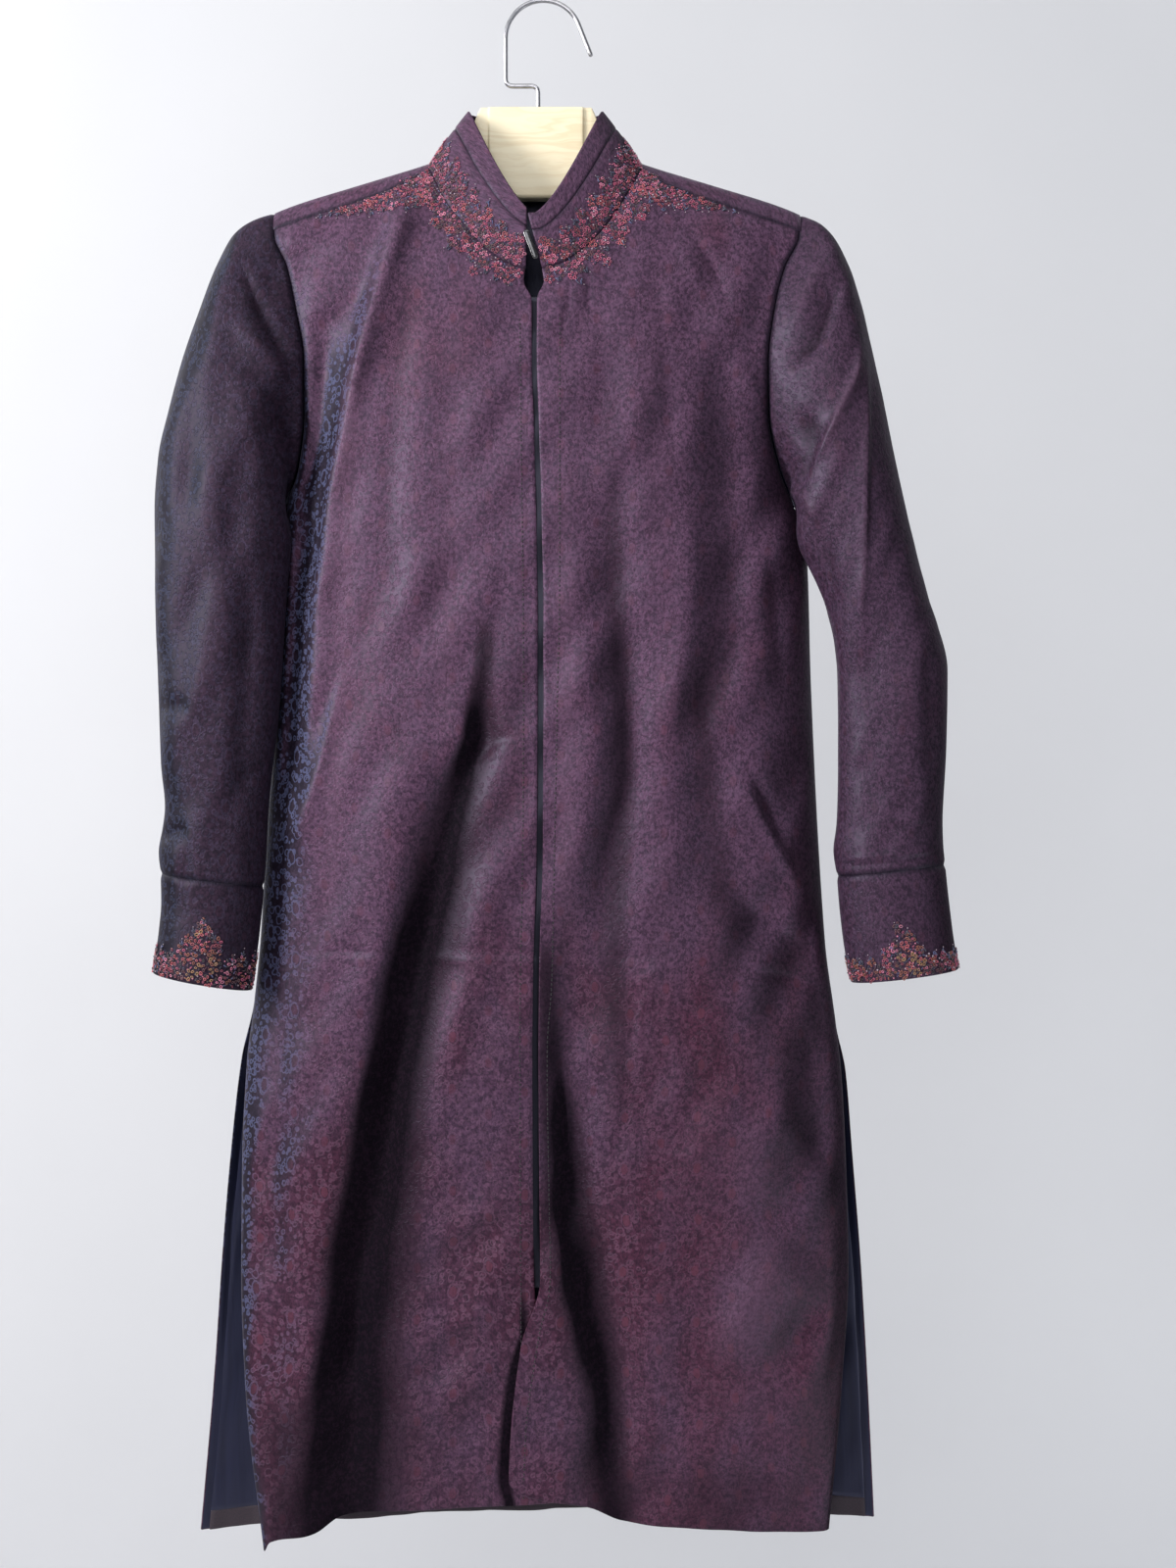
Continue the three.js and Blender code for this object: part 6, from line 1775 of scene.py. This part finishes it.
class Work:
    """Threads and beads gathered for one panel: kind, place, direction, outward side, size and tint."""

    def __init__(self, seed, surface, outward=1):
        self.draw = np.random.default_rng(seed)
        self.surface = surface
        self.outward = outward
        self.rows = []

    def put(self, kind, across, down, angle, size, tint, lift=0.5):
        shade = self.draw.uniform(0.75, 1.25)
        tilt = self.draw.normal(0, 0.16)
        tint = [min(1.0, c * shade) for c in tint]
        self.rows.append((kind, across, down, angle, size, lift, tilt, *tint))

    def scatter(self, box, spacing, inside, taken=(), gap=0.0):
        """Places at least one spacing apart, and a gap from those already taken."""
        (low_a, high_a), (low_b, high_b) = box
        tries = int((high_a - low_a) * (high_b - low_b) / spacing**2 * SPACING["tries"])
        found = np.empty((0, 2))
        taken = np.array(taken, float).reshape(-1, 2)
        for place in self.draw.uniform((low_a, low_b), (high_a, high_b), (tries, 2)):
            if not inside(*place):
                continue
            if len(found) and (np.abs(found - place).max(1) < spacing).any():
                if (np.hypot(*(found - place).T) < spacing).any():
                    continue
            if len(taken) and (np.hypot(*(taken - place).T) < gap).any():
                continue
            found = np.vstack([found, place])
        return found

    def pick(self, choices):
        return choices[self.draw.integers(len(choices))]

    def flower(self, across, down, tints, heart):
        start = self.draw.uniform(0, math.pi)
        main = self.pick(tints)
        for k in range(PETALS["count"]):
            tint = main if self.draw.random() < 0.6 else self.pick(tints)
            angle = start + 2 * math.pi * k / PETALS["count"] + self.draw.normal(0, 0.1)
            far = PETALS["reach"] * self.draw.uniform(0.85, 1.15)
            self.put(LOOP, across + far * math.cos(angle), down + far * math.sin(angle), angle,
                     self.draw.uniform(0.75, 1.2), tint, 0.6)
        self.put(BEAD, across, down, 0, self.draw.uniform(0.8, 1.1), heart, 0.9)

    def sprig(self, across, down, angle, size):
        """Three bugle beads that open from one point, with a round bead at the longest tip."""
        for lean, far in ((0.0, 2.6), (0.6, 1.9), (-0.6, 1.9)):
            turn, far = angle + lean, far * size
            self.put(BUGLE, across + far * math.cos(turn), down + far * math.sin(turn), turn, size,
                     SILK_NAVY if self.draw.random() < 0.7 else SILK_BLUE, 0.6)
        far = 4.9 * size
        self.put(BEAD, across + far * math.cos(angle), down + far * math.sin(angle), 0, 0.65, SILVER, 0.6)

    def fill(self, places, tints):
        """One small thread or bead at each place."""
        for across, down in places:
            kind = self.draw.choice(list(KIND_SHARES), p=list(KIND_SHARES.values()))
            tint = self.pick(tints if kind != BEAD else (SILVER, PALE_PINK))
            if kind == BUGLE:
                tint = self.pick((SILK_NAVY, SILK_BLUE, MAROON))
            angle, size = self.draw.uniform(0, 2 * math.pi), self.draw.uniform(0.7, 1.0)
            self.put(kind, across, down, angle, size, tint, 0.45)

    def bloom(self, flower_box, fill_box, inside, fillers, tints=lambda at, out: NECK_TINTS):
        """Flowers in one box, and small threads and beads between them in another."""
        flowers = self.scatter(flower_box, SPACING["flower"], inside)
        for at, out in flowers:
            self.flower(at, out, tints(at, out), self.pick(HEARTS))
        self.fill(self.scatter(fill_box, SPACING["fill"], inside, flowers, SPACING["room"]), fillers)

    def edge(self, steps, height, lean, size, wander=None, gap=(0, 0)):
        """Sprigs that point away from the uneven edge at these steps, with none in the gap."""
        for at in np.arange(*steps):
            if wander:
                at = at + self.draw.normal(0, wander)
            if gap[0] < at < gap[1]:
                continue
            self.sprig(at, height(at) - 1, math.pi / 2 + self.draw.normal(*lean), size)

    def sew(self, name):
        """Turns the gathered rows into one mesh on the surface."""
        rows = np.array(self.rows)
        across, down, angle = rows[:, 1], rows[:, 2], rows[:, 3]
        step = FRAME_STEP
        here = self.surface(across, down)
        wide = self.surface(across + step, down) - self.surface(across - step, down)
        tall = self.surface(across, down + step) - self.surface(across, down - step)
        unit = lambda v: v / np.maximum(np.linalg.norm(v, axis=-1, keepdims=True), 1e-9)
        wide, out = unit(wide), unit(np.cross(tall, wide)) * self.outward
        tall = np.cross(wide, out)
        out = unit(out + wide * rows[:, 6:7])
        forward = unit(wide * np.cos(angle)[:, None] - np.cross(out, wide) * -np.sin(angle)[:, None])
        forward = unit(forward - out * (forward * out).sum(-1, keepdims=True))
        side = np.cross(out, forward)
        spin = np.stack([np.arctan2(side[:, 2], out[:, 2]), -np.arcsin(np.clip(forward[:, 2], -1, 1)),
                         np.arctan2(forward[:, 1], forward[:, 0])], -1)
        places = here + out * rows[:, 5:6]
        mesh = bpy.data.meshes.new(name + "_points")
        mesh.from_pydata((places * MM).tolist(), [], [])
        for key, form, field, values in (
            ("kind", "INT", "value", rows[:, 0].astype(np.int32)),
            ("size", "FLOAT", "value", rows[:, 4]),
            ("spin", "FLOAT_VECTOR", "vector", spin),
            ("tint", "FLOAT_COLOR", "color", np.hstack([rows[:, 7:10], np.ones((len(rows), 1))])),
        ):
            mesh.attributes.new(key, form, "POINT").data.foreach_set(field, values.ravel())
        added(MOTIFS.grow(placed(name + "_points", mesh), name))


def lengths_of(line):
    return np.concatenate([[0], np.cumsum(np.linalg.norm(np.diff(line, axis=0), axis=-1))])


TURNS = np.linspace(-1, 1, 801)
FOOT_LENGTHS = lengths_of(collar(TURNS, np.full(801, 0.25)))
FOOT_LENGTHS = FOOT_LENGTHS - np.interp(0, TURNS, FOOT_LENGTHS)


def ragged(at, seed, wave=17.0):
    """An uneven edge from 0 to 1, with a point about each wave."""
    turn = at * 2 * math.pi
    return 0.5 + 0.32 * np.sin(turn / wave + seed) + 0.18 * np.sin(turn / (wave * 0.37) + 2 * seed)


def on_collar(across, up):
    return collar(np.interp(across, FOOT_LENGTHS, TURNS), up / COLLAR_HEIGHT)


NECK_FILLERS = (MAROON, CRIMSON, PINK, DARK_RED, DARK_RED, SILK_NAVY)


def collar_work():
    work = Work(41, on_collar)
    start, end = FOOT_LENGTHS[0] + 2.5, FOOT_LENGTHS[-1] - 2.5
    height = lambda at: 13 + 13 * ragged(at, 1.3)
    work.bloom(((start, end), (1.5, 24)), ((start, end), (0.5, 27)), lambda at, up: up < height(at),
               NECK_FILLERS)
    work.edge((start + 6, end - 4, 8.5), height, (0, 0.35), 1.05, wander=1.2)
    work.sew("collar_embroidery")


def neck_place(angle, out):
    """A place on the front, a distance out from the neck seam at an angle from its lowest point."""
    step = 0.01

    def line(a):
        out = NECK_HALF * np.sin(a)
        return np.stack([NECK_CENTRE + out, neck_edge_drop(np.abs(out))], -1)

    along = line(angle + step) - line(angle - step)
    along /= np.linalg.norm(along, axis=-1, keepdims=True)
    away = np.stack([-along[..., 1], along[..., 0]], -1)
    return line(angle) + away * np.asarray(out)[..., None]


NECK_ANGLES = np.linspace(-1.5, 1.5, 401)
NECK_LENGTHS = lengths_of(neck_place(NECK_ANGLES, np.zeros(401)))
NECK_LENGTHS = NECK_LENGTHS - np.interp(0, NECK_ANGLES, NECK_LENGTHS)


def on_neck(across, out):
    place = neck_place(np.interp(across, NECK_LENGTHS, NECK_ANGLES), out)
    return front(place[..., 0], place[..., 1])


def neck_work():
    work = Work(57, on_neck)
    start, end = NECK_LENGTHS[0], NECK_LENGTHS[-1]
    right, left = -10.5, 9.5

    def depth(at):
        far = abs(at)
        return 9 + 13 * ragged(at, 0.4, 21) + 5 * smooth(70, 115, far) - 3 * smooth(30, 8, far)

    inside = lambda at, out: (at < right or at > left) and out < depth(at)
    work.bloom(((start, end), (3.0, 26)), ((start, end), (1.8, 28)), inside, NECK_FILLERS)
    work.edge((start + 5, end - 4, 9.5), depth, (0, 0.4), 1.1, wander=1.4, gap=(right - 4, left + 4))
    work.sew("neck_embroidery")


def shoulder_work(side, word, reach):
    def on_shoulder(across, below):
        out = NECK_HALF + across
        return front(NECK_CENTRE + side * out, ridge_drop(out) + seam_fall(out) + below)

    work = Work(71 + side, on_shoulder, outward=side)
    depth = lambda at: (15 + 7 * ragged(at, 0.9, 15)) * (1 - smooth(0, reach, at)) ** 0.7 + 4.5
    work.bloom(((1, reach - 8), (3.0, 24)), ((0, reach), (1.8, 26)), lambda at, below: below < depth(at),
               (MAROON, CRIMSON, PINK, CORAL, DARK_RED, SILK_NAVY))
    work.edge((8, reach - 4, 9.0), depth, (-0.3, 0.4), 1.0)
    work.sprig(reach - 2, 4, 0.2, 1.1)
    work.sprig(reach + 6, 3.6, 0.1, 1.0)
    work.sew(f"shoulder_embroidery_{word}")


# Millimetres of one station of the sleeve at the cuff
CUFF_REACH = 25.7


def cuff_work(side, rows, word):
    """Flowers round the cuff's edge, with a taller cone in the middle of its front and its back."""
    ring = np.linspace(-math.pi, math.pi, 241)
    edge_line = sleeve_surface(rows, side, ring[None], np.full((1, 241), float(LAST_STATION)))[0]
    lengths = lengths_of(edge_line)

    def on_cuff(across, up):
        angle = np.interp(across, lengths, ring)
        station = LAST_STATION - up / CUFF_REACH
        return sleeve_surface(rows, side, angle[None], station[None])[0]

    work = Work(83 + side, on_cuff, outward=side)
    middles = [float(np.interp(turn, ring, lengths)) for turn in (math.pi / 2, -math.pi / 2)]
    cone = lambda at: max(max(0.0, 1 - abs(at - m) / 19) for m in middles)
    height = lambda at: 10 + 7 * ragged(at, 0.2, 12) + 26 * cone(at)

    def tints(at, up):
        return (GOLD, RUST, CORAL) if cone(at) > 0.35 and up < height(at) - 7 else CUFF_TINTS

    end = lengths[-1]
    work.bloom(((2, end - 2), (2.0, 44)), ((1, end - 1), (1.2, 46)), lambda at, up: up < height(at),
               (RUST, CRIMSON, PINK, MAROON, DARK_RED, DARK_RED, SILK_NAVY), tints)
    work.edge((5, end - 4, 8.0), height, (0, 0.3), 1.0, wander=1.0)
    work.sew(f"cuff_embroidery_{word}")


collar_work()
neck_work()
shoulder_work(-1, "right", 78)
shoulder_work(1, "left", 66)
cuff_work(-1, RIGHT_SLEEVE, "right")
cuff_work(1, LEFT_SLEEVE, "left")

# Sewing lines down the fronts as x and drop
SEWING_LINES = {
    "right": ((-17.5, 262), (-16.4, 356), (-14.6, 500), (-15, 660), (-17, 773), (-17.4, 842), (-17, 1005),
              (-16, 1100), (-15, 1176)),
    "left": ((13.4, 262), (13.2, 471), (11.7, 546), (9.5, 659), (7.2, 772), (3.6, 830), (4.9, 942),
             (5.7, 1008), (-1.8, 1043), (-7.1, 1075), (-12.4, 1114), (-14.7, 1160)),
}
SEWING_TINT = colour(16, 11, 20)
SEWING_LIFT = 0.12


def sewing_line(word, route):
    """Running stitches on one front, of which the left one is lifted over the right near the hem."""
    line = spline(route, 90)
    place = front(line[:, 0], line[:, 1])
    if word == "left":
        down = smooth(OVERLAP["start"], OVERLAP["full"], line[:, 1])
        place[:, 1] -= OVERLAP["lift"] * down * (1 - smooth(OVERLAP["near"], OVERLAP["far"], line[:, 0]))
    place[:, 1] -= SEWING_LIFT
    mesh = bpy.data.meshes.new(f"sewing_{word}_line")
    mesh.from_pydata((place * MM).tolist(), [(i, i + 1) for i in range(len(place) - 1)], [])
    made = STITCHES.grow(placed(f"sewing_{word}_line", mesh), f"sewing_{word}")
    tints = made.data.attributes.new("tint", "FLOAT_COLOR", "POINT")
    tints.data.foreach_set("color", np.tile((*SEWING_TINT, 1), len(made.data.vertices)))
    added(made)


for word, route in SEWING_LINES.items():
    sewing_line(word, route)

# Studio


def plane(name, corners, material):
    mesh = bpy.data.meshes.new(name)
    mesh.from_pydata(corners, [], [(0, 1, 2, 3)])
    mesh.materials.append(material)
    placed(name, mesh)


PAINT = backdrop_paint("pale studio paint")
WALL_Y, HALF_WIDTH, TOP, FLOOR, NEAR, FAR = 0.95, 2.6, 1.6, -1.75, -3.4, 3.0
SIDES = (-HALF_WIDTH, HALF_WIDTH, HALF_WIDTH, -HALF_WIDTH)
plane("studio_wall", [(x, WALL_Y, z) for x, z in zip(SIDES, (FLOOR, FLOOR, TOP, TOP))], PAINT)
plane("studio_floor", [(x, y, FLOOR) for x, y in zip(SIDES, (NEAR, NEAR, FAR, FAR))], PAINT)

CAMERA = {"place": (0.0351, -1.8, -0.6217), "lens": 51.92, "sensor": 36, "clip": (0.05, 30)}
view = bpy.data.cameras.new("photo_view")
view.lens, view.sensor_width = CAMERA["lens"], CAMERA["sensor"]
view.clip_start, view.clip_end = CAMERA["clip"]
eye = placed("photo_view", view)
eye.location = CAMERA["place"]
eye.rotation_euler = (math.pi / 2, 0, 0)
bpy.context.scene.camera = eye


def lamp(name, place, target, size, power, tint):
    data = bpy.data.lights.new(name, "AREA")
    data.shape, data.size, data.size_y = "RECTANGLE", size[0], size[1]
    data.energy, data.color = power, tint
    made = placed(name, data)
    made.location = place
    made.rotation_euler = (Vector(target) - Vector(place)).to_track_quat("-Z", "Y").to_euler()
    made.visible_camera = False


MIDPOINT = (0, 0, -0.6)
lamp("key_left", (-2.0, -1.15, 0.1), MIDPOINT, (0.5, 1.3), 62, (1.0, 0.97, 0.96))
lamp("front_soft", (-0.5, -2.6, 0.1), MIDPOINT, (1.2, 1.6), 18, (1.0, 0.98, 1.0))
lamp("fill_right", (1.9, -1.8, -0.4), MIDPOINT, (1.2, 1.8), 4, (0.86, 0.9, 1.0))
lamp("top_soft", (0.1, -0.9, 1.3), (0, 0, -0.3), (1.6, 0.9), 9, (1.0, 1.0, 1.0))
lamp("wall_glow", (-1.1, -0.2, 0.9), (-0.2, 0.95, -0.3), (1.0, 1.0), 5, (0.96, 0.98, 1.0))
lamp("wall_low", (1.2, -0.2, -1.5), (0.3, 0.95, -0.7), (1.0, 1.0), 5, (0.96, 0.98, 1.0))
lamp("back_left", (-1.5, 0.8, 0.1), MIDPOINT, (0.7, 1.4), 10, (1.0, 1.0, 1.0))
lamp("back_right", (1.4, 0.85, 0.2), MIDPOINT, (0.7, 1.4), 6, (0.95, 0.97, 1.0))

world = bpy.data.worlds.new("soft studio")
world.use_nodes = True
sky = world.node_tree.nodes["Background"].inputs
sky["Color"].default_value, sky["Strength"].default_value = (0.9, 0.93, 1.0, 1), 0.26
bpy.context.scene.world = world
bpy.context.scene.view_settings.view_transform = "Standard"
